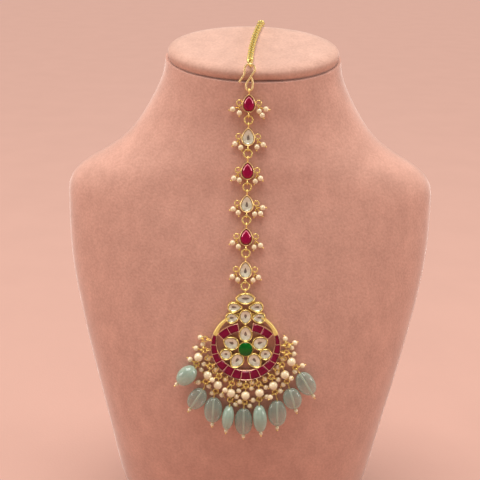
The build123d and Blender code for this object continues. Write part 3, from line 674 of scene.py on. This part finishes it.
def rim_place(angle, out, height=RIM_HEIGHT):
    """Place at a distance from the ring's middle, in degrees from straight down, to the right."""
    return Vector((*polar(out, math.radians(angle - 90)), height))


def lying(plane, u, v, radius):
    """Place on a plane of something that lies on the chest."""
    return Vector((u, v, depth_below(plane, u, v) + SEAT_GAP + radius))


# ---------------------------------------------------------------- pearls on pins

# Turns of wire round a pin's neck, and their radius as a share of the pin's
PIN_WRAPS = 3
WRAP_SHARE = 2.1


class Thread:
    """Pearls and gold wire of one bunch, kept apart for their materials."""

    def __init__(self, plane):
        self.plane = plane
        self.pearls = Shape()
        self.gold = Shape()

    def pearl(self, centre, radius, along, count=20):
        self.pearls.add(ball(radius, count, 0.22), self.plane @ frame_at(centre, along))

    def wire_ring(self, centre, axis, radius, wire, count=20):
        self.gold.add(ring(radius, wire, count, 8), self.plane @ frame_at(centre, axis))

    def eye(self, centre, axis):
        self.wire_ring(centre, axis, EYE_RADIUS, EYE_WIRE)

    def hung_from(self, centre, place):
        """Eye on the strand's ring about centre, on the side of a place. Returns the eye's middle."""
        way = Vector((place.x - centre.x, place.y - centre.y, 0)).normalized()
        middle = centre + way * STRAND_RING_RADIUS
        self.eye(middle, way.cross(Z))
        return middle

    def head_pin(self, start, pearl):
        """Pin with a wound neck, its small pearl, a thin cap at each hole, and the tip's ball."""
        way = (pearl - start).normalized()
        near = (pearl - start).length - SMALL_PEARL
        beyond = near + 2 * SMALL_PEARL
        wound = [(1, 0), (1, near * 0.25)]
        for k in range(PIN_WRAPS):
            foot = near * (0.3 + 0.5 * k / PIN_WRAPS)
            wound += [(1.2, foot), (WRAP_SHARE, foot + near * 0.08), (1.2, foot + near * 0.16)]
        caps = [(1, near * 0.9), (WRAP_SHARE, near - 0.02), (WRAP_SHARE, near + 0.06), (1, near + 0.08),
                (1, beyond - 0.04), (1.9, beyond - 0.02), (1.7, beyond + 0.06), (1, beyond + 0.1)]
        outline = [(PIN_WIRE * share, height) for share, height in wound + caps]
        for turn in spaced(math.asin(PIN_WIRE / TIP_BALL), math.pi - 0.1, 6):
            outline.append((TIP_BALL * math.sin(turn), beyond + TIP_REACH - TIP_BALL * math.cos(turn)))
        self.gold.add(turned(outline, 10), self.plane @ frame_at(start, way))
        self.pearl(pearl, SMALL_PEARL, way)

    def make(self, name, node):
        self.pearls.make(f"{name}_pearls", PEARL, "pearl", node)
        self.gold.make(f"{name}_pins", GOLD, "gold")


def settle(u, v, settled):
    """Place of a small pearl of the fringe: on the chest or the ring, or on the pearls before it.
    settled holds the middle and the radius of each of those."""
    spot = lying(PENDANT, u, v, SMALL_PEARL)
    if math.hypot(u, v) < RING_OUTER + SMALL_PEARL + STONE_GAP:
        spot.z = BEZEL_HEIGHT + SEAT_GAP + SMALL_PEARL
    for other, radius in settled:
        apart = math.hypot(u - other.x, v - other.y)
        touch = SMALL_PEARL + radius + STONE_GAP
        if apart < touch:
            spot.z = max(spot.z, other.z + math.sqrt(touch**2 - apart**2))
    settled.append((spot, SMALL_PEARL))
    return spot


# ---------------------------------------------------------------- links

UPRIGHT = Matrix.Rotation(math.pi / 2, 4, "Z")


def make_setting(number, place):
    """Bezel with a bail above, a loop below and a scrolled wire at each side."""
    setting = Shape()
    rim = LINK_RIM if number % 2 else FOLDED_RIM
    # The bezel takes the paler gold, brighter than the setting's wires: painted light on it.
    setting.add(bezel(LINK_CUT, rim), place @ UPRIGHT, tone=1)
    height = LOOP_HEIGHT - SEAT_GAP
    for side in (1, -1):
        setting.add(ring(LOOP_RADIUS, LOOP_WIRE, 28), place @ frame_at((0, side * LOOP_REACH, height), X))
        neck = (0, side * (LINK_LENGTH / 2 - 0.35), height)
        setting.add(ball(0.5, 14), place @ Matrix.Translation(neck))
        setting.add(ring(CURL_RADIUS, CURL_WIRE, 24), place @ frame_at((side * CURL_OUT, CURL_UP, height), Z))
    setting.make(f"link_{number}_setting", (GOLD, GOLD_PALE), "gold", f"link_setting_{number}")


def make_link_stone(number, place):
    """A ruby in every odd link and a clear stone in every even one."""
    node = f"link_stone_{number}"
    if number % 2:
        stone = Shape()
        link_ruby(stone, place)
        stone.make(f"link_{number}_ruby", (LINK_RUBY, RUBY_PAINTED_HIGHLIGHT), "ruby", node, crease=1)
    else:
        make_clear(f"link_{number}", node, LINK_CUT, [place])


def make_bunches(number, plane):
    """Small pearls on pins, hung from the scroll at each side of a link."""
    bunch = Thread(plane)
    eye_up = CURL_UP - CURL_RADIUS - EYE_DROP
    for side, places in zip((-1, 1), LINK_PEARLS[number - 1]):
        bunch.eye((side * CURL_OUT, eye_up, LOOP_HEIGHT), X)
        for u, v in places:
            root = Vector((side * CURL_OUT, eye_up - EYE_RADIUS, LOOP_HEIGHT))
            bunch.head_pin(root, lying(plane, u, v, SMALL_PEARL))
    bunch.make(f"link_{number}", f"link_pearls_{number}")


def make_links():
    for number, plane in enumerate(LINK_PLANES, start=1):
        raised = plane @ Matrix.Translation((0, 0, SEAT_GAP))
        make_setting(number, raised)
        make_link_stone(number, raised @ UPRIGHT)
        make_bunches(number, plane)


def bail_up():
    top = KUNDAN[0].v + KUNDAN[0].width / 2
    return top - PENDANT_LOOP_SINK + LOOP_RADIUS + LOOP_WIRE


def make_jump_rings():
    bails = [plane @ Vector((0, LOOP_REACH, LOOP_HEIGHT)) for plane in LINK_PLANES[1:]]
    bails.append(PENDANT @ Vector((0, bail_up(), LOOP_HEIGHT - SEAT_GAP)))
    for number, (plane, bail) in enumerate(zip(LINK_PLANES, bails), start=1):
        loop = plane @ Vector((0, -LOOP_REACH, LOOP_HEIGHT))
        place = frame_at((loop + bail) / 2, X.cross(loop - bail))
        seam = Matrix.Rotation(math.radians(35 + 70 * number), 4, "Z")
        part = ring(JUMP_RING_RADIUS, JUMP_RING_WIRE, 40, 12, 2.5)
        Shape().add(part, place @ seam).make(f"ring_{number}", GOLD, "gold", f"jump_ring_{number}")


# ---------------------------------------------------------------- hook and hair chain

def hook_matrix():
    in_bail = LOOP_REACH + LOOP_RADIUS - LOOP_WIRE - HOOK_WIRE - HOOK_PLAY
    origin = LINK_PLANES[0] @ Vector((0, in_bail, LOOP_HEIGHT))
    lean = math.radians(HOOK_LEAN)
    up = Vector((0, math.sin(lean), math.cos(lean)))
    return axes(X, up, X.cross(up), origin)


HOOK = hook_matrix()
CAP = Matrix.Translation((0, NECK_TOP_DEPTH, NECK_TOP_HEIGHT)) @ Matrix.Rotation(
    math.radians(NECK_TOP_SLOPE), 4, "X")


def make_hook():
    points = [HOOK @ Vector((across, up, 0)) for across, up, _ in HOOK_POINTS]
    path = rounded(points, [bend for _, _, bend in HOOK_POINTS[1:-1]])
    Shape().add(tube(path, HOOK_WIRE * 1.15, 14)).make("hook", GOLD_PALE, "gold", "s_hook")


def cap_edge_point(x, side, angle, out):
    """Point round the cap's rounded rim, an angle from its top, to the front or the back."""
    turn = math.radians(angle)
    along = side * (CAP_HALF_DEPTH - CAP_TOP_ROUND + out * math.sin(turn))
    return CAP @ Vector((x, along, CAP_THICKNESS - CAP_TOP_ROUND + out * math.cos(turn)))


# Weave of the hair chain: its visible bows, their steps along the chain, their lean, the rise of
# their tips and of their sides, their places off its middle, and the core, whose dark gold is painted shade
BOW_LENGTH = 1.25
BOW_WIDTH = 0.70
BOW_WIRE = 0.46
BOW_PITCH = 1.7
BOW_LEAN = math.radians(34)
BOW_TIP_RISE = 0.30
BOW_FACING = 0.93
BOW_SIDE_RISE = 0.36
BOW_ACROSS = 0.74
BOW_PROUD = 0.66
CORE_RADIUS = 0.62


def weave_bow():
    """Drop shaped wire loop about the origin, long along X: one visible bow of the weave."""
    rings = []
    for turn in spaced(0, TURN, 16)[:-1]:
        narrow = 0.72 + 0.28 * math.cos(turn)
        centre = Vector((BOW_LENGTH / 2 * math.cos(turn), BOW_WIDTH / 2 * math.sin(turn) * narrow, 0))
        out = Vector((*polar(1, turn), 0))
        rings.append([centre + out * x + Z * y for x, y in circle(7, BOW_WIRE)])
    return strip(rings, wrap=True)


def chain_start():
    """First ring's middle and axis, and the chain's first point: both are at the hook's distance
    from the middle of the cap's rounded rim."""
    local = CAP.inverted() @ HOOK @ Vector((0, HOOK_POINTS[2][1], 0))
    along = -local.y - (CAP_HALF_DEPTH - CAP_TOP_ROUND)
    height = local.z - (CAP_THICKNESS - CAP_TOP_ROUND)
    out = math.hypot(along, height)
    hook_angle = math.degrees(math.atan2(along, height))
    step = CHAIN_RING_RADIUS - CHAIN_RING_WIRE - HOOK_WIRE - HOOK_PLAY
    ring_angle = hook_angle - math.degrees(step / out)
    first_angle = hook_angle - math.degrees((step + CHAIN_RING_RADIUS) / out)
    centre = cap_edge_point(local.x, -1, ring_angle, out)
    outward = (centre - cap_edge_point(local.x, -1, ring_angle, 0)).normalized()
    twist = math.radians(CHAIN_RING_TWIST)
    axis = outward * math.sin(twist) + X * math.cos(twist)
    return centre, axis, cap_edge_point(local.x, -1, first_angle, out)


def chain_route(first):
    """Over the cap, round its back edge, and down behind the neck."""
    lie = CAP_THICKNESS + SEAT_GAP + CHAIN_RADIUS
    over = CAP_TOP_ROUND + SEAT_GAP + CHAIN_RADIUS + CHAIN_CORNER_ROOM
    points = [first] + [CAP @ Vector((x, forward, lie)) for x, forward in CHAIN_ON_CAP]
    points += [cap_edge_point(x, 1, angle, over) for x, angle in CHAIN_OVER_EDGE]
    return smooth_route(points + [Vector(point) for point in CHAIN_BEHIND])


def make_chain():
    """Woven chain: leaning bows in two columns, on its upper and its lower face, round a core whose dark gold
    is painted shade between them.
    """
    centre, axis, first = chain_start()
    chain = Shape()
    chain.add(ring(CHAIN_RING_RADIUS, CHAIN_RING_WIRE, 32, 12), frame_at(centre, axis))
    route = chain_route(first)
    bow = weave_bow()
    inside_neck = Vector((0, NECK_TOP_DEPTH, NECK_TOP_HEIGHT - 25))
    for number, (spot, way) in enumerate(evenly(route, BOW_PITCH)):
        up = spot - inside_neck
        up = (up - way * up.dot(way)).normalized()
        across = way.cross(up) * (1 if number % 2 else -1)
        for out, hand in ((up, across), (-up, -across)):
            x = (way * math.cos(BOW_LEAN) + hand * math.sin(BOW_LEAN) + out * BOW_TIP_RISE).normalized()
            z = (out * BOW_FACING + hand * BOW_SIDE_RISE).normalized()
            y = z.cross(x).normalized()
            chain.add(bow, axes(y.cross(z), y, z, spot + hand * BOW_ACROSS + out * BOW_PROUD))
    # Core in dark gold: painted shade seen between the bows.
    chain.add(tube(route, CORE_RADIUS, 8), tone=1)
    end = route[-1] + (route[-1] - route[-2]).normalized() * (CHAIN_RING_RADIUS + CHAIN_RING_WIRE / 2)
    chain.add(ring(CHAIN_RING_RADIUS, CHAIN_RING_WIRE, 32, 12), frame_at(end, Y))
    chain.make("woven_chain", (GOLD_CHAIN, GOLD_PAINTED_SHADE), "gold", "hair_chain")


def make_pin():
    """Pin with a domed head behind the neck."""
    low, high = (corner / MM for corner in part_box("chain_pin"))
    head = (high.x - low.x) / 2
    middle = Vector(((low.x + high.x) / 2, low.y, (low.z + high.z) / 2))
    length = high.y - low.y
    outline = [(0.02, 0), (0.4, 1.2), (0.4, length - 1.0), (head, length - 0.95), (head, length - 0.6),
               (head * 0.85, length - 0.25), (head * 0.5, length - 0.05), (0.05, length)]
    pin = Shape().add(turned(outline, 24), frame_at(middle, Y))
    pin.make("pin", STEEL, "pin_steel", "chain_pin", crease=50)


# ---------------------------------------------------------------- pendant

def ring_reach(turn, edge, inset):
    """Distance from the ring's middle to its outer circle, or to the crescent's inner one at edge 1."""
    if not edge:
        return RING_OUTER - inset
    across = RING_INNER_UP * math.cos(turn)
    return RING_INNER_UP * math.sin(turn) + math.sqrt((RING_INNER + inset) ** 2 - across**2)


def arc_reach(_, edge, inset):
    """The same for a ruby arc above the flower, from the middle of its circles."""
    return ARC_INNER + inset if edge else ARC_OUTER - inset


def sections(start, end, steps, profile, reach=ring_reach, up=0.0):
    """Cross sections between two angles in degrees from +X, about a middle that is up above the
    ring's. profile holds (edge, inset, height): edge 0 is the outer circle and 1 the inner one."""
    rings = []
    for turn in map(math.radians, spaced(start, end, steps)):
        places = [(polar(reach(turn, edge, inset), turn), height) for edge, inset, height in profile]
        rings.append([(u, up + v, height) for (u, v), height in places])
    return rings


def arc_sections(side, start, end, steps, profile):
    """Cross sections of the ruby arc on one side, between two angles from straight up."""
    return sections(90 - side * start, 90 - side * end, steps, profile, arc_reach, ARC_CENTRE_UP)


# Cross sections of the ring's parts: outer halves as (inset, height) from the foot up, and the
# heights of the walls between the stones and at the channel's ends
CHANNEL_LIP = ((0, 0), (0, 2.0), (0.06, 2.25), (0.2, 2.4), (0.34, 2.3), (0.45, 2.0), (0.45, 1.0))
PLAIN_EDGE = ((0, 0), (0, 2.0), (0.08, 2.25), (0.25, 2.42))
WALL_TOP = 2.42
END_TOP = 2.38
LOW_BAR = FLOOR * 0.7


def both_sides(half):
    """Whole cross section as (edge, inset, height), up the outer side and down the inner one."""
    return [(0, *spot) for spot in half] + [(1, *spot) for spot in reversed(half)]


def slab(inset, low, high):
    """Cross section of a plain block."""
    return both_sides(((inset, low), (inset, high)))


CHANNEL = both_sides(CHANNEL_LIP)
PLAIN = both_sides(PLAIN_EDGE)
STONE_WALL = slab(0.3, 1.0, WALL_TOP)


# Ruby blocks: the inside of a channel, their inset from it, the height of their foot, the drop of
# their bevel, the table's share of the outline, and its height and tilt in the ring and in the arcs
STONE_EDGES = ((0, 0.47, 0), (1, 0.47, 0))
BLOCK_INSET = 0.04
BLOCK_FOOT = 1.05
BLOCK_BEVEL = 0.30
TABLE_SHARE = 0.80
RING_TABLE = 2.55
RING_TILT = 0.05
ARC_TABLE = 2.6
ARC_TILT = 0.06
# Degrees along the ring and along the arcs: an end wall, the place where the stones begin, half of
# a wall between two stones, and a stone's distance from that wall's middle
RING_END = 1.5
RING_END_ROOM = 1.6
RING_HALF_WALL = 0.5
RING_STONE_GAP = 0.45
ARC_END = 1.0
ARC_END_ROOM = 0.9
ARC_HALF_WALL = 0.4
ARC_STONE_GAP = 0.3


def cut_block(outline, top, tilt, rng):
    """Step cut stone on the points of its outline: girdle, bevel and a slightly tilted table."""
    middle = sum(outline, Vector((0, 0, 0))) / len(outline)
    tilt_x, tilt_y = rng.uniform(-tilt, tilt), rng.uniform(-tilt, tilt)
    table = []
    for corner in outline:
        away = (corner - middle) * TABLE_SHARE
        table.append((middle.x + away.x, middle.y + away.y, top + away.x * tilt_x + away.y * tilt_y))
    girdle = [(corner.x, corner.y, BLOCK_FOOT) for corner in outline]
    shoulder = [(x, y, top - BLOCK_BEVEL) for x, y, _ in girdle]
    return closed([girdle, shoulder, table])


def block_outline(stretch):
    """Outline of the stone that fills a stretch of channel, from its first to its last section."""
    outer, inner = [[Vector(section[edge]) for section in stretch] for edge in (0, 1)]
    corners = outer + inner[::-1]
    middle = sum(corners, Vector((0, 0, 0))) / len(corners)
    return [corner - (corner - middle).normalized() * BLOCK_INSET for corner in corners]


def make_crescent(gold, walls, rng):
    """Ring: channel with its rubies below, plain brushed arcs above, and a low bar under the crown."""
    start, end = -180 - RING_STONES_UP_TO, RING_STONES_UP_TO
    walls.add(closed(sections(start, end, 96, CHANNEL)), PENDANT)
    for turn, wall in ((start, RING_END), (end, -RING_END)):
        gold.add(closed(sections(turn, turn + wall, 2, slab(0.3, 0.5, END_TOP))), PENDANT)
    brushed = Shape()
    for first, last in ((end, ARCS_REACH), (180 - ARCS_REACH, 180 - end)):
        brushed.add(closed(sections(first, last, 24, PLAIN)), PENDANT)
    low_bar = [(edge, inset, min(height, LOW_BAR)) for edge, inset, height in PLAIN]
    gold.add(closed(sections(ARCS_REACH, 180 - ARCS_REACH, 24, low_bar)), PENDANT)
    brushed.make("crescent_arcs", GOLD_BRUSHED, "gold")

    rubies = Shape()
    span = (end - start - 2 * RING_END_ROOM) / RING_STONES
    for k in range(RING_STONES):
        first = start + RING_END_ROOM + span * k
        last = first + span - RING_STONE_GAP
        outline = block_outline(sections(first + RING_STONE_GAP, last, 4, STONE_EDGES))
        rubies.add(cut_block(outline, RING_TABLE, RING_TILT, rng), PENDANT, smooth=False)
        if k:
            wall = sections(first - RING_HALF_WALL, first + RING_HALF_WALL, 2, STONE_WALL)
            walls.add(closed(wall), PENDANT)
    rubies.make("crescent_rubies", RUBY, "ruby", "ruby_crescent", crease=1)


def make_ruby_arcs(walls, rng):
    """Two channels above the flower, with two rubies in each."""
    arcs = Shape()
    split = (ARC_FROM + ARC_TO) / 2
    near, far = split - ARC_STONE_GAP, split + ARC_STONE_GAP
    for side in (1, -1):
        walls.add(closed(arc_sections(side, ARC_FROM, ARC_TO, 16, CHANNEL)), PENDANT)
        for turn in (ARC_FROM, ARC_TO - ARC_END):
            walls.add(closed(arc_sections(side, turn, turn + ARC_END, 2, slab(0.2, 0.5, END_TOP))), PENDANT)
        for first, last in ((ARC_FROM + ARC_END_ROOM, near), (far, ARC_TO - ARC_END_ROOM)):
            outline = block_outline(arc_sections(side, first, last, 4, STONE_EDGES))
            arcs.add(cut_block(outline, ARC_TABLE, ARC_TILT, rng), PENDANT, smooth=False)
        wall = arc_sections(side, split - ARC_HALF_WALL, split + ARC_HALF_WALL, 2, STONE_WALL)
        walls.add(closed(wall), PENDANT)
    arcs.make("arc_rubies", RUBY, "ruby", "ruby_arcs", crease=1)


def make_green(gold):
    """Green cabochon in its round collar."""
    middle = on_pendant(0, GREEN_UP)
    gold.add(turned([(GREEN_RADIUS + BEZEL_WALL - inset, height) for inset, height in RIM], 48), middle)
    girdle = GREEN_RADIUS - STONE_GAP
    shoulder = BEZEL_HEIGHT - 0.1
    rise = GREEN_DOME * 0.75
    dome = [(girdle, FLOOR + STONE_GAP)]
    for turn in spaced(0, math.pi / 2.1, 8):
        dome.append((girdle * math.cos(turn), shoulder + rise * math.sin(turn)))
    cabochon = Shape().add(turned(dome, 40), middle)
    cabochon.make("green_cabochon", GREEN, "green_stone", "centre_stone", crease=60)


def make_kundan(gold):
    """Clear stones of the crown and the flower, in bezels of folded foil."""
    rows = list(KUNDAN)
    for node, angle, reach, twin in PETALS:
        u, v = polar(reach, math.radians(angle))
        rows.append(Kundan(node, "pear", u, GREEN_UP + v, PETAL_LENGTH, PETAL_WIDTH, angle, twin))
    for stone in rows:
        cut = Cut(OUTLINES[stone.shape], stone.length, stone.width)
        places = [on_pendant(stone.u, stone.v, 0, stone.tip)]
        if stone.twin:
            places.append(on_pendant(-stone.u, stone.v, 0, 180 - stone.tip))
        for place in places:
            gold.add(bezel(cut, FOLDED_RIM), place)
        make_clear(stone.node, stone.node, cut, places)


# Small loops on the rim between two strands: radii of an upright and of a flat one, how far they
# stand out from the strands' own loops, and their wire
SPARE_RADII = (0.9, 1.0)
SPARE_OUT = (-0.1, 1.5)
SPARE_WIRE = 0.26


def add_loops(gold):
    """Solder spots, the bail above, and the loops round the rim with small ones between them."""
    for u, v, radius in SOLDER:
        spot = turned([(radius, 0), (radius, 0.5), (radius * 0.7, 0.7)], 20)
        gold.add(spot, on_pendant(u, v))
    height = LOOP_HEIGHT - SEAT_GAP
    gold.add(ring(LOOP_RADIUS, LOOP_WIRE, 28), PENDANT @ frame_at((0, bail_up(), height), X))
    gold.add(ball(0.55, 14), on_pendant(0, KUNDAN[0].v + KUNDAN[0].width / 2 - 0.2, height))

    def at_rim(part, rim, out, flat=0):
        along = Z if flat else rim_place(rim + 90, 1, 0)
        gold.add(part, PENDANT @ frame_at(rim_place(rim, out), along))

    for rim in [strand.rim for strand in STRANDS] + [rim for rim, _ in SIDE_BUNCHES.values()]:
        at_rim(ring(RIM_LOOP_RADIUS, RIM_LOOP_WIRE, 24), rim, RIM_LOOP_OUT)
    rims = sorted(strand.rim for strand in STRANDS)
    for rim in [(a + b) / 2 for a, b in zip(rims, rims[1:])]:
        for flat in (0, 1):
            at_rim(ring(SPARE_RADII[flat], SPARE_WIRE, 20, 8), rim, RIM_LOOP_OUT + SPARE_OUT[flat], flat)


def make_pendant():
    rng = random.Random(SEED)
    gold, walls = Shape(), Shape()
    make_crescent(gold, walls, rng)
    make_ruby_arcs(walls, rng)
    walls.make("channel_walls", GOLD_ROSE, "gold")
    make_green(gold)
    make_kundan(gold)
    add_loops(gold)
    gold.make("pendant_gold", GOLD, "gold", "pendant_frame")


# ---------------------------------------------------------------- fringe

# Mint beads: how square their section is, how full their ends, their lumps, and their core's ends
BEAD_SQUARENESS = 0.86
BEAD_FULLNESS = 0.9
BEAD_LUMP = 0.008
BEAD_TRIM = 0.985
CORE_SHARE = 0.93


def bead_shape(strand, rng):
    """Tumbled oval bead, flatter on its two faces, with a drilled hole along its length."""
    sides = 28
    bumps = [(rng.uniform(0, TURN), rng.uniform(0, TURN)) for _ in range(3)]
    half_width, half_length, half_depth = strand.width / 2, strand.length / 2, strand.depth / 2
    edge = math.asin(BEAD_HOLE / half_width)

    def squared(value):
        return math.copysign(abs(value) ** BEAD_SQUARENESS, value)

    rings = []
    for turn in spaced(edge, math.pi - edge, 20):
        reach = math.sin(turn) ** BEAD_FULLNESS * BEAD_TRIM
        section = []
        for around in spaced(0, TURN, sides)[:-1]:
            waves = sum(math.sin((n + 1) * around + a) * math.sin((n + 2) * turn + b)
                        for n, (a, b) in enumerate(bumps))
            full = reach * (1 + BEAD_LUMP * waves)
            section.append((squared(math.cos(around)) * half_width * full, math.cos(turn) * half_length,
                            squared(math.sin(around)) * half_depth * full))
        rings.append(section)
    mouth = rings[0][0][1] * 0.96
    hole = [[(x, y, z) for x, z in circle(sides, BEAD_HOLE)] for y in (mouth, -mouth)]
    return strip([hole[0]] + rings + [hole[1]])


def make_bead(number, strand, bead, axis, rng):
    """Mint bead, and the pale wall of its drilled hole."""
    place = PENDANT @ axes(Z.cross(axis).normalized(), axis, Z, bead)
    stone = MINT_DENSE if strand.depth > DENSE_FROM else MINT
    body = Shape().add(bead_shape(strand, rng), place)
    body.make(f"bead_{number}", stone, "mint_stone", f"mint_bead_{number}", crease=60)
    half = strand.length / 2 * CORE_SHARE
    core = [[(x, y, z) for x, z in circle(14, BEAD_HOLE)] for y in (half, half * 0.3, -half * 0.3, -half)]
    Shape().add(strip(core), place).make(f"bead_{number}_drill", MINT_CORE, "mint_stone")


def strand_places(strand):
    """Middles of a strand's rim ring, large pearl, lower ring and bead, and the bead's axis."""
    rim_ring = rim_place(strand.rim, STRAND_RING_OUT)
    pearl = lying(PENDANT, *strand.pearl, LARGE_PEARL)
    bead = lying(PENDANT, *strand.bead, strand.depth / 2)
    axis = rim_place(strand.tilt, 1, 0)
    top = bead - axis * (strand.length / 2)
    low = pearl + Vector((top.x - pearl.x, top.y - pearl.y, 0)).normalized() * LOWER_RING_DROP
    low.z = depth_below(PENDANT, low.x, low.y) + LOWER_RING_HEIGHT
    return rim_ring, pearl, low, bead, axis


def strand_ring(thread, centre):
    """Ring of a strand, with its wire drawn thicker than the solid's."""
    thread.wire_ring(centre, Z, STRAND_RING_RADIUS, STRAND_RING_WIRE * 1.3, 28)


def hold_pearl(thread, centre, pearl):
    """Strand ring, its eye, and a short pin with a cap that holds the large pearl."""
    strand_ring(thread, centre)
    eye = thread.hung_from(centre, pearl)
    collar = pearl + (eye - pearl).normalized() * (LARGE_PEARL - 0.05)
    thread.gold.add(tube([eye, collar], PIN_WIRE, 8), PENDANT)
    cap = [(0.2, -0.1), (0.62, -0.08), (0.55, 0.08), (0.3, 0.2), (0.2, 0.3)]
    thread.gold.add(turned(cap, 14), PENDANT @ frame_at(collar, eye - pearl))


def hold_bead(thread, low_ring, bead, half_length, axis):
    """Pin from the lower ring through a mint bead, with a seed pearl and a ball at its tip."""
    top = bead - axis * (half_length + BEAD_PIN)
    thread.gold.add(tube([thread.hung_from(low_ring, top), top], PIN_WIRE, 8), PENDANT)
    seed = bead + axis * (half_length + SEED_PEARL + STONE_GAP)
    tip = seed + axis * (SEED_PEARL + TIP_REACH)
    thread.gold.add(tube([top - axis * BEAD_PIN, tip], BEAD_PIN, 10), PENDANT)
    thread.gold.add(ball(TIP_BALL, 14), on_pendant(*tip))
    thread.pearl(seed, SEED_PEARL, axis, 18)


def make_fringe():
    rng = random.Random(SEED)
    strands = [(strand, *strand_places(strand)) for strand in STRANDS]
    settled = [(pearl, LARGE_PEARL) for _, _, pearl, _, _, _ in strands]
    for number, (strand, rim_ring, pearl, low_ring, bead, axis) in enumerate(strands):
        thread = Thread(PENDANT)
        hold_pearl(thread, rim_ring, pearl)
        hold_pearl(thread, low_ring, pearl)
        thread.pearl(pearl, LARGE_PEARL, low_ring - rim_ring, 30)
        hold_bead(thread, low_ring, bead, strand.length / 2, axis)
        bunches = [(rim_ring, strand.upper), (low_ring, strand.lower)]
        if number in SIDE_BUNCHES:
            rim, places = SIDE_BUNCHES[number]
            side_ring = rim_place(rim, STRAND_RING_OUT)
            strand_ring(thread, side_ring)
            bunches.append((side_ring, places))
        for centre, places in bunches:
            for u, v in places:
                small = settle(u, v, settled)
                thread.head_pin(thread.hung_from(centre, small), small)
        thread.make(f"strand_{number + 1}", f"pearl_strand_{number + 1}")
        make_bead(number + 1, strand, bead, axis, rng)


# ---------------------------------------------------------------- bust

def paint_bust():
    """The bust is the CAD's own mesh, in velvet."""
    mesh = node_mesh("bust_body")
    mesh.materials.clear()
    mesh.materials.append(VELVET)


# Side of the cap, from its flat underside to its flat top: inset from its outline, and height
CAP_SIDE = ((1.7, 0.1), (1.25, 0.3), (0.8, 0.75), (0.4, 1.4), (0.12, 2.1), (0, 2.9), (0.12, 3.8), (0.6, 4.7),
            (1.5, 5.45), (2.8, 6.05), (4.6, 6.36), (7.0, 6.48), (11.0, 6.5), (18.0, 6.5), (26.0, 6.5))
# Place and width of the pucker in degrees, with 270 at the front, and how much it draws the side in
CAP_PUCKER_AT = 279.0
CAP_PUCKER_WIDTH = 7.0
CAP_PUCKER_DEPTH = 0.7


def make_cap():
    """Padded cap: soft full side, crease that wanders a little, and one pucker at the front."""
    rng = random.Random(SEED)
    waves = [(beats, rng.uniform(0, TURN), 0.10 / math.sqrt(beats)) for beats in (2, 3, 5, 8, 13)]
    rings = []
    for inset, height in CAP_SIDE:
        low = max(0.0, 1 - height / 4.0)
        section = []
        for turn in spaced(0, TURN, 192)[:-1]:
            wander = sum(size * math.sin(beats * turn + start) for beats, start, size in waves)
            deep = 0.25 + 0.75 * abs(math.sin(turn)) ** 1.5
            pucker = math.exp(-((math.degrees(turn) - CAP_PUCKER_AT) / CAP_PUCKER_WIDTH) ** 2)
            drawn = inset * (1 - low * (1 - deep)) + low * (wander + CAP_PUCKER_DEPTH * pucker)
            lifted = height + low * (0.8 * wander - 0.25 * pucker) * min(1.0, height / 1.5)
            x, y = (CAP_HALF_WIDTH - drawn) * math.cos(turn), (CAP_HALF_DEPTH - drawn) * math.sin(turn)
            section.append((x, y, max(lifted, CAP_GAP)))
        rings.append(section)
    cap = Shape().add(closed(rings), CAP)
    piece = cap.make("padded_cap", CAP_VELVET_PAINTED_LIGHT, "cap_velvet", "neck_cap", crease=80)


# ---------------------------------------------------------------- floor, light, camera

FLOOR_TINT = (0.53, 0.305, 0.245)


def make_floor():
    n = Nodes("floor")
    n.tint(FLOOR_TINT, 60, 3, 0.97, 1)
    n.set(Roughness=0.9)
    n.bump(n.noise(1.5, 4), 0.1)
    bpy.ops.mesh.primitive_plane_add(size=14, location=(0, 0, -0.0002))
    floor = bpy.context.object
    floor.name = "floor"
    floor.data.materials.append(n.material)


def lamp(name, kind, place, height_aimed_at, energy):
    """Lamp at a place in metres, which looks at a point over the origin."""
    data = bpy.data.lights.new(name, kind)
    data.energy = energy
    data.color = (1, 0.97, 0.94)
    lamp_object = new_object(name, data)
    lamp_object.location = place
    lamp_object.rotation_mode = "QUATERNION"
    way = Vector((0, 0, height_aimed_at)) - Vector(place)
    lamp_object.rotation_quaternion = way.to_track_quat("-Z", "Y")
    return data


def make_light():
    """Even light from all round, a broad sun from above, and a soft lamp at each side."""
    world = bpy.data.worlds.new("studio")
    bpy.context.scene.world = world
    world.use_nodes = True
    background = world.node_tree.nodes["Background"]
    background.inputs["Color"].default_value = (1.0, 0.95, 0.93, 1)
    background.inputs["Strength"].default_value = 0.28
    lamp("key", "SUN", (-0.06, 0.0, 0.99), 0, 3.5).angle = math.radians(45)
    for name, side in (("soft_left", -1), ("soft_right", 1)):
        soft = lamp(name, "AREA", (side * 0.92, -0.18, 0.5), 0.15, 3.0)
        soft.shape = "SQUARE"
        soft.size = 0.4


# Camera: the point it looks at and its distance from it, its rise over the level, its roll and its lens
CAMERA_AIM = Vector((-4.7, -35.0, 177.0))
CAMERA_DISTANCE = 420.0
CAMERA_RISE = math.radians(20)
CAMERA_ROLL = math.radians(1.2)
CAMERA_LENS = 65.625


def make_camera():
    back = Vector((0, -math.cos(CAMERA_RISE), math.sin(CAMERA_RISE)))
    right = X * math.cos(CAMERA_ROLL) + back.cross(X) * math.sin(CAMERA_ROLL)
    data = bpy.data.cameras.new("camera")
    data.sensor_width = 36.0
    data.lens = CAMERA_LENS
    camera = new_object("camera", data)
    camera.matrix_world = axes(right, back.cross(right), back, (CAMERA_AIM + back * CAMERA_DISTANCE) * MM)
    bpy.context.scene.camera = camera


make_camera()
make_floor()
make_light()
paint_bust()
make_cap()
make_links()
make_jump_rings()
make_hook()
make_chain()
make_pin()
make_pendant()
make_fringe()
bpy.context.scene.view_settings.view_transform = "Standard"
bpy.context.view_layer.update()
